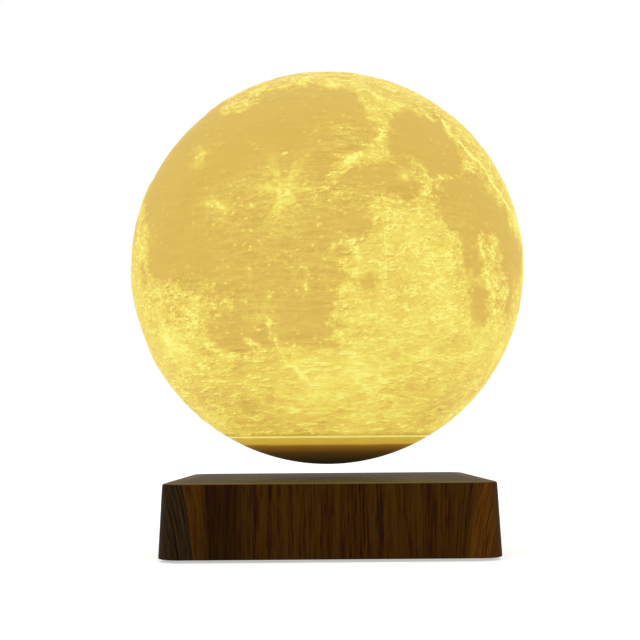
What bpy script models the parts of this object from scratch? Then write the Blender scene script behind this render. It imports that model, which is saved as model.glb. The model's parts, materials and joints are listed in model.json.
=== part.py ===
"""A levitating lamp: a lit sphere with the Moon's relief that floats above a square walnut-finish base.

Metres, +Z up. The front faces -Y, and the origin lies at the middle of the plane that the feet stand on."""

import math

import bmesh
import bpy
from mathutils import Matrix, Vector
from mathutils.geometry import interpolate_bezier

# Clearances that every fit shares
GAP = 0.0003
SEAT_GAP = 0.0005
OVERRUN = 0.002
WELD = 0.00001

# Facets of round pieces
SPHERE_SEGMENTS = 32
RING_SEGMENTS = 24
ROUND_SEGMENTS = 16
BOSS_SEGMENTS = 12
SPOOL_SEGMENTS = 8
SCREW_SEGMENTS = 8
LED_DOME_SEGMENTS = 8
LED_DOME_RINGS = 4
SHARP_ANGLE = math.radians(35)

# Base casing: a drafted square box, open below
BASE_WIDTH = 0.139
BASE_HEIGHT = 0.030
BASE_DRAFT = math.radians(2.4)
BASE_CORNER_RADIUS = 0.010
BASE_EDGE_ROUND = 0.001
CORNER_STEPS = 5
EDGE_STEPS = 2
BASE_WALL = 0.004
BASE_TOP_WALL = 0.0025

# Bosses under the casing's top: one in each corner for the cover, three round the magnets for their carrier
COVER_BOSS_RADIUS = 0.0042
COVER_BOSS_INSET = 0.008
BOSS_RIB = 0.0015
BOSS_RIB_DROP = 0.006
CARRIER_BOSS_RADIUS = 0.0034
CARRIER_BOSS_ANGLES = (math.radians(30), math.radians(150), math.radians(270))

# Cover, feet and their screws
COVER_INSET = 0.0006
COVER_THICKNESS = 0.0022
COVER_RIB_WIDTH = 0.0012
COVER_RIB_HEIGHT = 0.0015
FOOT_RADIUS = 0.006
FOOT_PROUD = 0.0012
FOOT_RECESS = 0.0008
FOOT_CHAMFER = 0.0006
FOOT_INSET = 0.021
SCREW_RADIUS = 0.0013
SCREW_TIP = 0.0006
CSK_HEAD_RADIUS = 0.0028
CSK_HEAD_RIM = 0.0003
CSK_RECESS = 0.0002
COVER_SCREW_LENGTH = 0.010

# Circuit boards and what is soldered to them
BOARD_THICKNESS = 0.0016
CONTROL_BOARD_INSET = 0.0195
CONTROL_BOARD_CORNER = 0.003
CONTROL_BOARD_LIFT = 0.003
BOARD_POST_RADIUS = 0.003
BOARD_POST_SHARES = (0.9, 0.5)
BOARD_PEG_RADIUS = 0.0012
BOARD_PEG_PROUD = 0.0008
CONTROLLER_SIZE = (0.010, 0.010, 0.0013)
CONTROLLER_PLACE_SHARES = (-0.48, -0.52)
DRIVER_SIZE = (0.005, 0.006, 0.0013)
DRIVER_PLACE_SHARES = (0.52, -0.44)
DRIVER_COUNT = 2
DRIVER_PITCH = 0.014
CAPACITOR_RADIUS = 0.004
CAPACITOR_HEIGHT = 0.011
CAPACITOR_EDGE = 0.0005
CAPACITOR_CLEARANCE = 0.002

# Magnet carrier with the fixed ring magnet
RING_MAGNET_WIDTH = 0.0165
RING_MAGNET_HEIGHT = 0.010
RING_MAGNET_EDGE = 0.0006
CARRIER_WALL = 0.002
CARRIER_CENTRE_HOLE = 0.005
CARRIER_EAR_REACH = 0.0055
CARRIER_EAR_RADIUS = 0.0045
CARRIER_EAR_THICKNESS = 0.0022
PAN_HEAD_RADIUS = 0.0026
PAN_HEAD_HEIGHT = 0.0016
PAN_HEAD_TOP_SHARE = 0.75
CARRIER_SCREW_LENGTH = 0.0075

# Steering coils on a square round the middle, and the sensors between them
COIL_COUNT = 4
COIL_SPACING = 0.004
COIL_CLEARANCE = 0.0027
BOBBIN_FLANGE_RADIUS = 0.010
BOBBIN_FLANGE = 0.001
BOBBIN_HEIGHT = 0.0125
BOBBIN_CORE = 0.0014
BOBBIN_PEG_RADIUS = 0.0026
BOBBIN_PEG_LENGTH = 0.008
WINDING_INSET = 0.0004
SENSOR_BOARD_THICKNESS = 0.0012
HALL_SIZE = (0.004, 0.0015, 0.0032)
HALL_CIRCLE = 0.0036
HALL_COUNT = 3

# Wireless power coil under the casing's top
POWER_COIL_INSET = 0.004
POWER_COIL_WIDTH = 0.013
POWER_COIL_HEIGHT = 0.0012

# Power inlet in the back wall
JACK_HEIGHT = 0.0165
JACK_NOSE_RADIUS = 0.0042
JACK_BODY_RADIUS = 0.006
JACK_BODY_LENGTH = 0.0085
JACK_RECESS = 0.0005
JACK_EDGE = 0.0004
JACK_BORE_RADIUS = 0.003
JACK_BORE_DEPTH = 0.0095
JACK_PIN_RADIUS = 0.001
JACK_PIN_INSET = 0.0015
JACK_PIN_TAIL = 0.001

# Touch switch foil behind the front wall, and the leads
FOIL_SIZE = (0.036, 0.0004, 0.014)
LEAD_RADIUS = 0.0009
LEAD_STEPS = 6
LEAD_BEND = 0.0025
LEAD_STUB = 0.0005
POWER_LEAD_OFFSET = 0.0035
POWER_LEAD_DROP = 0.003
TOUCH_LEAD_OFFSET = 0.014
LEAD_LANDING = 0.004

# Floating sphere
MOON_RADIUS = 0.090
HOVER_GAP = 0.006
MOUTH_RADIUS = 0.0462
SHELL_WALL = 0.0018
CAP_WALL = 0.002
SHELL_SUBDIVISIONS = 5
SEAM_CALM = 0.012

# Collar in the sphere's mouth and the cap's spigot that sits in it
COLLAR_WALL = 0.0016
COLLAR_HEIGHT = 0.0055
COLLAR_FLANGE_HEIGHT = 0.007
SPIGOT_WALL = 0.0018
SPIGOT_HEIGHT = 0.005
ARC_STEPS = 3
CAP_ARC_STEPS = 6

# Opaque tray for the floating magnet, the receiver coil and the lamp board, dropped in through the spigot
TRAY_DROP_IN = 0.0028
TRAY_WALL = 0.0014
TRAY_FLOOR = 0.0009
TRAY_LIP = 0.0004
FLOAT_MAGNET_RADIUS = 0.020
FLOAT_MAGNET_HEIGHT = 0.008
FLOAT_MAGNET_EDGE = 0.0005
RECEIVER_COIL_CLEARANCE = 0.0008
RECEIVER_COIL_HEIGHT = 0.0015
SHIELD_THICKNESS = 0.0006
TRAY_POST_RADIUS = 0.0022
TRAY_POST_ANGLES = (math.radians(30), math.radians(150), math.radians(270))
TRAY_POST_CLEARANCE = 0.0018
TRAY_SCREW_LENGTH = 0.006
LED_BOARD_INSET = 0.003
LED_CIRCLE_SHARE = 0.48
LED_COUNT = 6
LED_SIZE = (0.005, 0.005, 0.0012)
LED_DOME = 0.0011
MOON_LEAD_RADIUS = 0.0006
MOON_LEAD_ANGLE = math.radians(90)

# Relief: how deep a sea lies, how far a crater's floor and rim depart, and how soft their edges are
SEA_DEPTH = 0.0005
CRATER_DEPTH = 0.0007
CRATER_RIM = 0.00035
SEA_EDGE_SHARE = 0.35
CRATER_FLOOR_SHARE = 0.72
CRATER_SKIRT_SHARE = 1.5

# How the Moon's map is turned on the sphere: swung to the right, rolled and leant back
MAP_SWING = math.radians(8.6)
MAP_ROLL = math.radians(0.7)
MAP_LEAN = math.radians(-2.4)

# Seas as (longitude, latitude, half-width, half-height) in the map's degrees
SEAS = (
    (-16, 34, 19, 15),
    (18, 27, 11, 10),
    (31, 8, 13, 10),
    (59, 17, 8, 6),
    (51, -6, 8, 11),
    (35, -15, 6, 6),
    (-53, 27, 16, 17),
    (-51, 3, 17, 17),
    (-28, 6, 13, 9),
    (-23, -10, 9, 7),
    (-16, -21, 11, 8),
    (-39, -24, 7, 7),
    (-5, 57, 30, 4),
    (4, 13, 6, 5),
    (81, 57, 7, 5),
    (87, 6, 8, 12),
    (-93, -19, 8, 8),
    (148, 27, 6, 6),
    (163, -34, 7, 6),
    (-152, -36, 8, 8),
)

# Craters as (longitude, latitude, radius) in the map's degrees
CRATERS = (
    (-11, -43, 4),
    (-20, 10, 4),
    (-38, 8, 4),
    (-47, 24, 4),
    (-9, 52, 4),
    (-14, -58, 7),
    (-6, -30, 5),
    (-2, -10, 5),
    (26, -11, 4),
    (25, -43, 6),
    (14, -34, 5),
    (42, -30, 5),
    (61, -9, 4),
    (60, -25, 5),
    (64, -43, 6),
    (45, -55, 6),
    (30, 32, 4),
    (40, 47, 5),
    (57, 40, 6),
    (50, 62, 5),
    (5, 64, 5),
    (-37, 52, 5),
    (-69, -6, 4),
    (-62, -18, 5),
    (-66, -38, 6),
    (-44, -44, 7),
    (-38, -60, 6),
    (-67, -51, 5),
    (0, -75, 6),
    (104, 30, 9),
    (108, -18, 8),
    (122, 5, 7),
    (133, -42, 9),
    (129, -20, 6),
    (150, -5, 7),
    (168, 12, 9),
    (178, 48, 8),
    (-172, -14, 8),
    (-158, 33, 9),
    (-137, 6, 7),
    (-124, 42, 8),
    (-115, -40, 8),
    (-104, 18, 9),
    (88, -50, 8),
    (35, 78, 6),
    (-120, 68, 8),
)

COLOURS = {
    "walnut": ((0.048, 0.020, 0.006), 0.55, 0.0),
    "moon_print": ((0.80, 0.62, 0.25), 0.65, 0.0),
    "cap_print": ((0.32, 0.20, 0.06), 0.60, 0.0),
    "black_plastic": ((0.020, 0.020, 0.020), 0.55, 0.0),
    "white_plastic": ((0.75, 0.74, 0.70), 0.50, 0.0),
    "rubber": ((0.030, 0.030, 0.030), 0.80, 0.0),
    "steel": ((0.55, 0.55, 0.56), 0.35, 1.0),
    "nickel": ((0.62, 0.60, 0.56), 0.25, 1.0),
    "ferrite": ((0.060, 0.060, 0.065), 0.70, 0.0),
    "copper": ((0.72, 0.33, 0.14), 0.40, 1.0),
    "board_green": ((0.020, 0.120, 0.050), 0.45, 0.0),
    "board_white": ((0.80, 0.80, 0.78), 0.45, 0.0),
    "chip_black": ((0.015, 0.015, 0.016), 0.50, 0.0),
    "led_yellow": ((0.85, 0.70, 0.25), 0.40, 0.0),
    "can_metal": ((0.45, 0.46, 0.50), 0.35, 1.0),
    "wire_red": ((0.45, 0.03, 0.02), 0.50, 0.0),
}

# Heights that several pieces share
BASE_BOTTOM_Z = FOOT_PROUD
BASE_TOP_Z = BASE_BOTTOM_Z + BASE_HEIGHT
CEILING_Z = BASE_TOP_Z - BASE_TOP_WALL
COVER_BOTTOM_Z = BASE_BOTTOM_Z + COVER_INSET
COVER_TOP_Z = COVER_BOTTOM_Z + COVER_THICKNESS
CONTROL_BOARD_Z = COVER_TOP_Z + CONTROL_BOARD_LIFT
CONTROL_BOARD_TOP_Z = CONTROL_BOARD_Z + BOARD_THICKNESS
POWER_COIL_Z = CEILING_Z - GAP - POWER_COIL_HEIGHT
CARRIER_TOP_Z = POWER_COIL_Z - GAP
CARRIER_PLATE_Z = CARRIER_TOP_Z - CARRIER_WALL
RING_MAGNET_TOP_Z = CARRIER_PLATE_Z - GAP
RING_MAGNET_Z = RING_MAGNET_TOP_Z - RING_MAGNET_HEIGHT
CARRIER_BOTTOM_Z = RING_MAGNET_Z
BOBBIN_TOP_Z = CARRIER_PLATE_Z - GAP
BOBBIN_Z = BOBBIN_TOP_Z - BOBBIN_HEIGHT
SENSOR_BOARD_TOP_Z = BOBBIN_Z - GAP
SENSOR_BOARD_Z = SENSOR_BOARD_TOP_Z - SENSOR_BOARD_THICKNESS
MOON_CENTRE_Z = BASE_TOP_Z + HOVER_GAP + MOON_RADIUS

# Radii in the base, from the coils outwards
COIL_CIRCLE = (BOBBIN_FLANGE_RADIUS + COIL_SPACING / 2) / math.sin(math.pi / COIL_COUNT)
SENSOR_BOARD_RADIUS = COIL_CIRCLE + BOBBIN_FLANGE_RADIUS
CARRIER_INNER = SENSOR_BOARD_RADIUS + COIL_CLEARANCE
RING_MAGNET_INNER = CARRIER_INNER + CARRIER_WALL + GAP
RING_MAGNET_OUTER = RING_MAGNET_INNER + RING_MAGNET_WIDTH
CARRIER_OUTER = RING_MAGNET_OUTER + GAP + CARRIER_WALL
CARRIER_BOSS_CIRCLE = CARRIER_OUTER + CARRIER_EAR_REACH
POWER_COIL_OUTER = CARRIER_OUTER - POWER_COIL_INSET
POWER_COIL_INNER = POWER_COIL_OUTER - POWER_COIL_WIDTH
BOBBIN_BORE_RADIUS = BOBBIN_PEG_RADIUS + GAP
BOBBIN_CORE_RADIUS = BOBBIN_BORE_RADIUS + BOBBIN_CORE


def level_radius(sphere_radius, z):
    """The radius of a sphere's horizontal ring at height z from its centre."""
    return math.sqrt(sphere_radius**2 - z**2)


def ring_drop(sphere_radius, ring_radius):
    """The height of a sphere's lower horizontal ring of this radius, from its centre."""
    return -math.sqrt(sphere_radius**2 - ring_radius**2)


# Radii inside the sphere, from its wall inwards, and the seam's height from its centre
SEAM_Z = ring_drop(MOON_RADIUS, MOUTH_RADIUS)
SHELL_INNER_RADIUS = MOON_RADIUS - SHELL_WALL
COLLAR_SEAT_RADIUS = SHELL_INNER_RADIUS - SEAT_GAP
COLLAR_BORE_RADIUS = level_radius(COLLAR_SEAT_RADIUS, SEAM_Z) - COLLAR_WALL
SPIGOT_RADIUS = COLLAR_BORE_RADIUS - GAP
SPIGOT_INSIDE_RADIUS = SPIGOT_RADIUS - SPIGOT_WALL
CAP_INNER_RADIUS = MOON_RADIUS - CAP_WALL
TRAY_SEAT_RADIUS = CAP_INNER_RADIUS - SEAT_GAP
TRAY_RADIUS = SPIGOT_INSIDE_RADIUS - TRAY_DROP_IN
POCKET_RADIUS = FLOAT_MAGNET_RADIUS + GAP
POCKET_WALL_RADIUS = POCKET_RADIUS + TRAY_WALL
TRAY_POST_CIRCLE = POCKET_RADIUS + TRAY_POST_RADIUS
RECEIVER_COIL_INNER = TRAY_POST_CIRCLE + TRAY_POST_RADIUS + RECEIVER_COIL_CLEARANCE
RECEIVER_COIL_OUTER = TRAY_RADIUS - TRAY_WALL - RECEIVER_COIL_CLEARANCE
LED_BOARD_RADIUS = TRAY_RADIUS - LED_BOARD_INSET

# Heights inside the sphere, from its centre
POCKET_FLOOR_Z = ring_drop(TRAY_SEAT_RADIUS, POCKET_WALL_RADIUS) + TRAY_FLOOR
TRAY_RIM_LOW_Z = ring_drop(TRAY_SEAT_RADIUS, TRAY_RADIUS)
CHANNEL_FLOOR_Z = TRAY_RIM_LOW_Z + TRAY_FLOOR
FLOAT_MAGNET_Z = POCKET_FLOOR_Z + GAP
TRAY_TOP_Z = FLOAT_MAGNET_Z + FLOAT_MAGNET_HEIGHT + TRAY_LIP
RECEIVER_COIL_Z = CHANNEL_FLOOR_Z + GAP
SHIELD_Z = RECEIVER_COIL_Z + RECEIVER_COIL_HEIGHT + GAP
TRAY_POST_TOP_Z = FLOAT_MAGNET_Z + FLOAT_MAGNET_HEIGHT + TRAY_POST_CLEARANCE
LED_BOARD_Z = TRAY_POST_TOP_Z + GAP
LED_BOARD_TOP_Z = LED_BOARD_Z + BOARD_THICKNESS


def outer_half_width(z):
    """Half the casing's width at height z, as its drafted walls have it."""
    return BASE_WIDTH / 2 - (z - BASE_BOTTOM_Z) * math.tan(BASE_DRAFT)


def inner_half_width(z):
    return outer_half_width(z) - BASE_WALL


CONTROL_BOARD_WIDTH = 2 * (inner_half_width(CONTROL_BOARD_Z) - CONTROL_BOARD_INSET)


def arc(sphere_radius, start_radius, end_radius, steps):
    """Profile points on a sphere's lower half, from one ring's radius to another's."""
    start = math.asin(start_radius / sphere_radius)
    end = math.asin(end_radius / sphere_radius)
    angles = [start + (end - start) * k / steps for k in range(steps + 1)]
    return [(sphere_radius * math.sin(a), -sphere_radius * math.cos(a)) for a in angles]


def polar(radius, angle):
    return radius * math.cos(angle), radius * math.sin(angle)


# Scene, collections and materials


def clear_scene():
    for obj in list(bpy.data.objects):
        bpy.data.objects.remove(obj, do_unlink=True)
    for collection in list(bpy.data.collections):
        bpy.data.collections.remove(collection)


def new_collection(name):
    collection = bpy.data.collections.new(name)
    bpy.context.scene.collection.children.link(collection)
    return collection


clear_scene()
PARTS = new_collection("levitating_lamp")
CUTTERS = new_collection("cutters")


def material(name):
    """The Principled material of this name, made on first use."""
    if name in bpy.data.materials:
        return bpy.data.materials[name]
    colour, roughness, metallic = COLOURS[name]
    made = bpy.data.materials.new(name)
    made.use_nodes = True
    shader = made.node_tree.nodes["Principled BSDF"]
    shader.inputs["Base Color"].default_value = (*colour, 1.0)
    shader.inputs["Roughness"].default_value = roughness
    shader.inputs["Metallic"].default_value = metallic
    made.diffuse_color = (*colour, 1.0)
    return made


def place(name, mesh, finish=None, location=(0, 0, 0), rotation=(0, 0, 0), parent=None):
    """An object for a mesh. One with a finish is a piece of the lamp, and any other is a cutter or a join."""
    obj = bpy.data.objects.new(name, mesh)
    obj.location = location
    obj.rotation_euler = rotation
    obj.parent = parent
    if finish is None:
        CUTTERS.objects.link(obj)
        obj.hide_render = True
        obj.display_type = "WIRE"
    else:
        PARTS.objects.link(obj)
        mesh.materials.append(material(finish))
    return obj


def new_empty(name, location, parent=None):
    empty = bpy.data.objects.new(name, None)
    empty.location = location
    empty.parent = parent
    PARTS.objects.link(empty)
    return empty


# Modelling helpers


def mesh_from(name, build):
    """A mesh that the build function models in bmesh."""
    bm = bmesh.new()
    build(bm)
    bmesh.ops.recalc_face_normals(bm, faces=bm.faces[:])
    mesh = bpy.data.meshes.new(name)
    bm.to_mesh(mesh)
    bm.free()
    return mesh


def turned(name, profile, segments, finish=None, closed=True, **where):
    """A profile of (radius, height) points turned about +Z. It runs down its outer side, top to bottom."""
    mesh = bpy.data.meshes.new(name)
    count = len(profile)
    edges = [(k, (k + 1) % count) for k in range(count if closed else count - 1)]
    mesh.from_pydata([(r, 0, z) for r, z in profile], edges, [])
    obj = place(name, mesh, finish, **where)
    screw = obj.modifiers.new("turn", "SCREW")
    screw.axis = "Z"
    screw.angle = math.tau
    screw.steps = segments
    screw.render_steps = segments
    screw.use_merge_vertices = True
    screw.merge_threshold = WELD
    screw.use_smooth_shade = True
    return obj


def box_in(bm, size, centre):
    matrix = Matrix.Translation(centre) @ Matrix.Diagonal((*size, 1))
    bmesh.ops.create_cube(bm, size=1, matrix=matrix)


def cylinder_in(bm, radius, low, high, centre=(0, 0), segments=BOSS_SEGMENTS):
    middle = Vector((*centre, (low + high) / 2))
    bmesh.ops.create_cone(
        bm,
        cap_ends=True,
        segments=segments,
        radius1=radius,
        radius2=radius,
        depth=high - low,
        matrix=Matrix.Translation(middle),
    )


def block_in(bm, half_width, low, high, corner_radius, edge_round=0):
    """A rounded square block whose half-width is a function of height. Its top edge may be rounded too."""
    bmesh.ops.create_cube(bm, size=2)
    for vert in bm.verts:
        z = high if vert.co.z > 0 else low
        vert.co = Vector((*(vert.co.xy * half_width(z)), z))
    upright = [e for e in bm.edges if e.verts[0].co.z != e.verts[1].co.z]
    bmesh.ops.bevel(
        bm,
        geom=upright,
        offset=corner_radius,
        segments=CORNER_STEPS,
        profile=0.5,
        affect="EDGES",
    )
    if edge_round:
        top = [e for e in bm.edges if all(v.co.z > high - WELD for v in e.verts)]
        bmesh.ops.bevel(
            bm,
            geom=top,
            offset=edge_round,
            segments=EDGE_STEPS,
            profile=0.5,
            affect="EDGES",
        )


def boolean(obj, other, operation):
    modifier = obj.modifiers.new(other.name, "BOOLEAN")
    modifier.operation = operation
    modifier.object = other


def cut(obj, name, build):
    """Cuts from an object what the build function models."""
    boolean(obj, place(name, mesh_from(name, build), parent=obj.parent), "DIFFERENCE")


def join(obj, name, build):
    """Joins to an object, as one solid, what the build function models."""
    boolean(obj, place(name, mesh_from(name, build), parent=obj.parent), "UNION")


def ring(name, inner, outer, low, high, finish, **where):
    """A turned ring with square edges."""
    profile = [(outer, high), (outer, low), (inner, low), (inner, high)]
    return turned(name, profile, RING_SEGMENTS, finish, **where)


def disc(name, radius, low, high, edge, segments, finish, **where):
    """A turned disc with chamfered edges."""
    profile = [
        (0, high),
        (radius - edge, high),
        (radius, high - edge),
        (radius, low + edge),
        (radius - edge, low),
        (0, low),
    ]
    return turned(name, profile, segments, finish, closed=False, **where)


def pan_screw(name, length, location, upward, parent=None):
    """A pan-head screw whose head seats at its origin and whose shank runs up or down from there."""
    profile = [
        (0, length),
        (SCREW_RADIUS - SCREW_TIP, length),
        (SCREW_RADIUS, length - SCREW_TIP),
        (SCREW_RADIUS, 0),
        (PAN_HEAD_RADIUS, 0),
        (PAN_HEAD_RADIUS, -PAN_HEAD_HEIGHT / 2),
        (PAN_HEAD_RADIUS * PAN_HEAD_TOP_SHARE, -PAN_HEAD_HEIGHT),
        (0, -PAN_HEAD_HEIGHT),
    ]
    turn = (0, 0, 0) if upward else (math.pi, 0, 0)
    where = {"location": location, "rotation": turn, "parent": parent}
    return turned(name, profile, SCREW_SEGMENTS, "steel", closed=False, **where)


def lead(name, start, leaving, end, arriving, radius, parent=None):
    """A wire on one smooth bend between two short straight stubs that run in the given directions."""
    start, end = Vector(start), Vector(end)
    leaving, arriving = Vector(leaving), Vector(arriving)
    first = start + leaving * LEAD_STUB
    last = end - arriving * LEAD_STUB
    handles = (first + leaving * LEAD_BEND, last - arriving * LEAD_BEND)
    points = [start, *interpolate_bezier(first, *handles, last, LEAD_STEPS), end]
    curve = bpy.data.curves.new(name, "CURVE")
    curve.dimensions = "3D"
    curve.bevel_depth = radius
    curve.bevel_resolution = 2
    curve.use_fill_caps = True
    spline = curve.splines.new("POLY")
    spline.points.add(len(points) - 1)
    for point, at in zip(spline.points, points):
        point.co = (*at, 1)
    return place(name, curve, "wire_red", parent=parent)


# Base casing


def cover_boss_places():
    reach = inner_half_width(BASE_BOTTOM_Z) - COVER_BOSS_INSET
    return [(x * reach, y * reach) for x in (-1, 1) for y in (-1, 1)]


def carrier_boss_places():
    return [polar(CARRIER_BOSS_CIRCLE, a) for a in CARRIER_BOSS_ANGLES]


def base_housing():
    corner_inner = BASE_CORNER_RADIUS - BASE_WALL
    cover_boss_low = COVER_TOP_Z + GAP
    carrier_boss_low = CARRIER_BOTTOM_Z + CARRIER_EAR_THICKNESS + GAP
    into_top = CEILING_Z + BASE_TOP_WALL / 2
    rib_low = CEILING_Z - BOSS_RIB_DROP
    wall_middle = inner_half_width(rib_low) + BASE_WALL / 4

    def outer(bm):
        block_in(bm, outer_half_width, BASE_BOTTOM_Z, BASE_TOP_Z, BASE_CORNER_RADIUS, BASE_EDGE_ROUND)

    def hollow(bm):
        block_in(bm, inner_half_width, BASE_BOTTOM_Z - OVERRUN, CEILING_Z, corner_inner)

    def cover_bosses(bm):
        for place_xy in cover_boss_places():
            cylinder_in(bm, COVER_BOSS_RADIUS, cover_boss_low, into_top, place_xy)

    def boss_ribs(bm):
        for x, y in cover_boss_places():
            length = wall_middle - abs(x)
            height = into_top - rib_low
            middle = math.copysign(abs(x) + length / 2, x)
            box_in(bm, (length, BOSS_RIB, height), (middle, y, rib_low + height / 2))

    def carrier_bosses(bm):
        for place_xy in carrier_boss_places():
            cylinder_in(bm, CARRIER_BOSS_RADIUS, carrier_boss_low, into_top, place_xy)

    def screw_holes(bm):
        hole = SCREW_RADIUS + GAP
        cover_reach = COVER_BOTTOM_Z + COVER_SCREW_LENGTH + OVERRUN
        carrier_reach = CARRIER_BOTTOM_Z + CARRIER_SCREW_LENGTH + OVERRUN / 2
        for place_xy in cover_boss_places():
            cylinder_in(bm, hole, cover_boss_low - OVERRUN, cover_reach, place_xy, SCREW_SEGMENTS)
        for place_xy in carrier_boss_places():
            cylinder_in(bm, hole, carrier_boss_low - OVERRUN, carrier_reach, place_xy, SCREW_SEGMENTS)

    def jack_hole(bm):
        cylinder_in(bm, JACK_NOSE_RADIUS + GAP, -BASE_WALL * 2, BASE_WALL * 2, segments=RING_SEGMENTS)
        turn = Matrix.Rotation(-math.pi / 2, 4, "X")
        wall = Matrix.Translation((0, outer_half_width(JACK_HEIGHT) - BASE_WALL / 2, JACK_HEIGHT))
        bmesh.ops.transform(bm, matrix=wall @ turn, verts=bm.verts[:])

    housing = place("base_housing", mesh_from("base_housing", outer), "walnut")
    cut(housing, "housing_hollow", hollow)
    join(housing, "cover_bosses", cover_bosses)
    join(housing, "boss_ribs", boss_ribs)
    join(housing, "carrier_bosses", carrier_bosses)
    cut(housing, "housing_screw_holes", screw_holes)
    cut(housing, "jack_hole", jack_hole)


# Cover, feet and cover screws


def foot_places():
    reach = BASE_WIDTH / 2 - FOOT_INSET
    return [(x * reach, y * reach) for x in (-1, 1) for y in (-1, 1)]


def csk_profile(clearance):
    """The countersunk screw's outline from its head face up, widened by a clearance for its hole."""
    head = CSK_HEAD_RADIUS + clearance
    shank = SCREW_RADIUS + clearance
    cone_top = CSK_HEAD_RIM + CSK_HEAD_RADIUS - SCREW_RADIUS
    return head, shank, cone_top


def cover_screw(name, place_xy):
    head, shank, cone_top = csk_profile(0)
    profile = [
        (0, COVER_SCREW_LENGTH),
        (shank - SCREW_TIP, COVER_SCREW_LENGTH),
        (shank, COVER_SCREW_LENGTH - SCREW_TIP),
        (shank, cone_top),
        (head, CSK_HEAD_RIM),
        (head, 0),
        (0, 0),
    ]
    at = (*place_xy, COVER_BOTTOM_Z + CSK_RECESS)
    return turned(name, profile, SCREW_SEGMENTS, "steel", closed=False, location=at)


def csk_hole(name, place_xy):
    head, shank, cone_top = csk_profile(GAP)
    profile = [
        (0, COVER_THICKNESS + OVERRUN),
        (shank, COVER_THICKNESS + OVERRUN),
        (shank, cone_top),
        (head, CSK_HEAD_RIM),
        (head, -OVERRUN),
        (0, -OVERRUN),
    ]
    at = (*place_xy, COVER_BOTTOM_Z + CSK_RECESS)
    return turned(name, profile, SCREW_SEGMENTS, closed=False, location=at)


def on_control_board(shares):
    """A place on the control board, given as shares of half its width."""
    return tuple(share * CONTROL_BOARD_WIDTH / 2 for share in shares)


def board_post_places():
    reach_x, reach_y = on_control_board(BOARD_POST_SHARES)
    return [(x * reach_x, y * reach_y) for x in (-1, 1) for y in (-1, 1)]


def bottom_cover():
    corner = BASE_CORNER_RADIUS - BASE_WALL - GAP

    def plate(bm):
        block_in(bm, lambda z: inner_half_width(z) - GAP, COVER_BOTTOM_Z, COVER_TOP_Z, corner)

    def posts(bm):
        low = COVER_TOP_Z - COVER_THICKNESS / 2
        for place_xy in board_post_places():
            cylinder_in(bm, BOARD_POST_RADIUS, low, CONTROL_BOARD_Z - GAP, place_xy, SPOOL_SEGMENTS)

    def pegs(bm):
        low = COVER_TOP_Z + GAP
        high = CONTROL_BOARD_TOP_Z + BOARD_PEG_PROUD
        for place_xy in board_post_places():
            cylinder_in(bm, BOARD_PEG_RADIUS, low, high, place_xy, SCREW_SEGMENTS)

    def ribs(bm):
        reach_x, reach_y = on_control_board(BOARD_POST_SHARES)
        height = COVER_THICKNESS / 2 + COVER_RIB_HEIGHT
        middle = COVER_TOP_Z + COVER_RIB_HEIGHT - height / 2
        for side in (-1, 1):
            box_in(bm, (reach_x * 2, COVER_RIB_WIDTH, height), (0, side * reach_y, middle))

    def foot_recesses(bm):
        low, high = COVER_BOTTOM_Z - OVERRUN, COVER_BOTTOM_Z + FOOT_RECESS
        for place_xy in foot_places():
            cylinder_in(bm, FOOT_RADIUS + GAP, low, high, place_xy, ROUND_SEGMENTS)

    cover = place("bottom_cover", mesh_from("bottom_cover", plate), "black_plastic")
    join(cover, "board_posts", posts)
    join(cover, "board_pegs", pegs)
    join(cover, "cover_ribs", ribs)
    cut(cover, "foot_recesses", foot_recesses)
    for k, place_xy in enumerate(cover_boss_places(), 1):
        boolean(cover, csk_hole(f"cover_screw_hole_{k}", place_xy), "DIFFERENCE")
        cover_screw(f"cover_screw_{k}", place_xy)


def foot_pads():
    top = COVER_BOTTOM_Z + FOOT_RECESS - GAP
    profile = [
        (0, top),
        (FOOT_RADIUS, top),
        (FOOT_RADIUS, FOOT_CHAMFER),
        (FOOT_RADIUS - FOOT_CHAMFER, 0),
        (0, 0),
    ]
    for k, place_xy in enumerate(foot_places(), 1):
        where = {"closed": False, "location": (*place_xy, 0)}
        turned(f"foot_pad_{k}", profile, ROUND_SEGMENTS, "rubber", **where)


# Circuit boards


def control_board():
    low, high = CONTROL_BOARD_Z, CONTROL_BOARD_TOP_Z

    def board(bm):
        block_in(bm, lambda z: CONTROL_BOARD_WIDTH / 2, low, high, CONTROL_BOARD_CORNER)

    def holes(bm):
        hole = BOARD_PEG_RADIUS + GAP
        for place_xy in board_post_places():
            cylinder_in(bm, hole, low - OVERRUN, high + OVERRUN, place_xy, SCREW_SEGMENTS)

    control = place("control_board", mesh_from("control_board", board), "board_green")
    cut(control, "control_board_holes", holes)


def package(name, size, place_xy, low, finish="chip_black", angle=0, parent=None):
    """A small moulded package that stands on a board."""

    def body(bm):
        box_in(bm, size, (0, 0, size[2] / 2))

    where = {"location": (*place_xy, low), "rotation": (0, 0, angle), "parent": parent}
    return place(name, mesh_from(name, body), finish, **where)


def board_parts():
    """The chips near the board's front, and the capacitors on its diagonals, just outside the carrier."""
    low = CONTROL_BOARD_TOP_Z + GAP
    package("controller_chip", CONTROLLER_SIZE, on_control_board(CONTROLLER_PLACE_SHARES), low)
    driver_x, driver_y = on_control_board(DRIVER_PLACE_SHARES)
    for k in range(DRIVER_COUNT):
        package(f"driver_chip_{k + 1}", DRIVER_SIZE, (driver_x, driver_y - k * DRIVER_PITCH), low)
    reach = (CARRIER_OUTER + CAPACITOR_CLEARANCE + CAPACITOR_RADIUS) / math.sqrt(2)
    for k, side in enumerate((-1, 1), 1):
        where = {"location": (side * reach, reach, 0)}
        high = low + CAPACITOR_HEIGHT
        name = f"filter_capacitor_{k}"
        disc(name, CAPACITOR_RADIUS, low, high, CAPACITOR_EDGE, SPOOL_SEGMENTS, "can_metal", **where)


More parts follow.
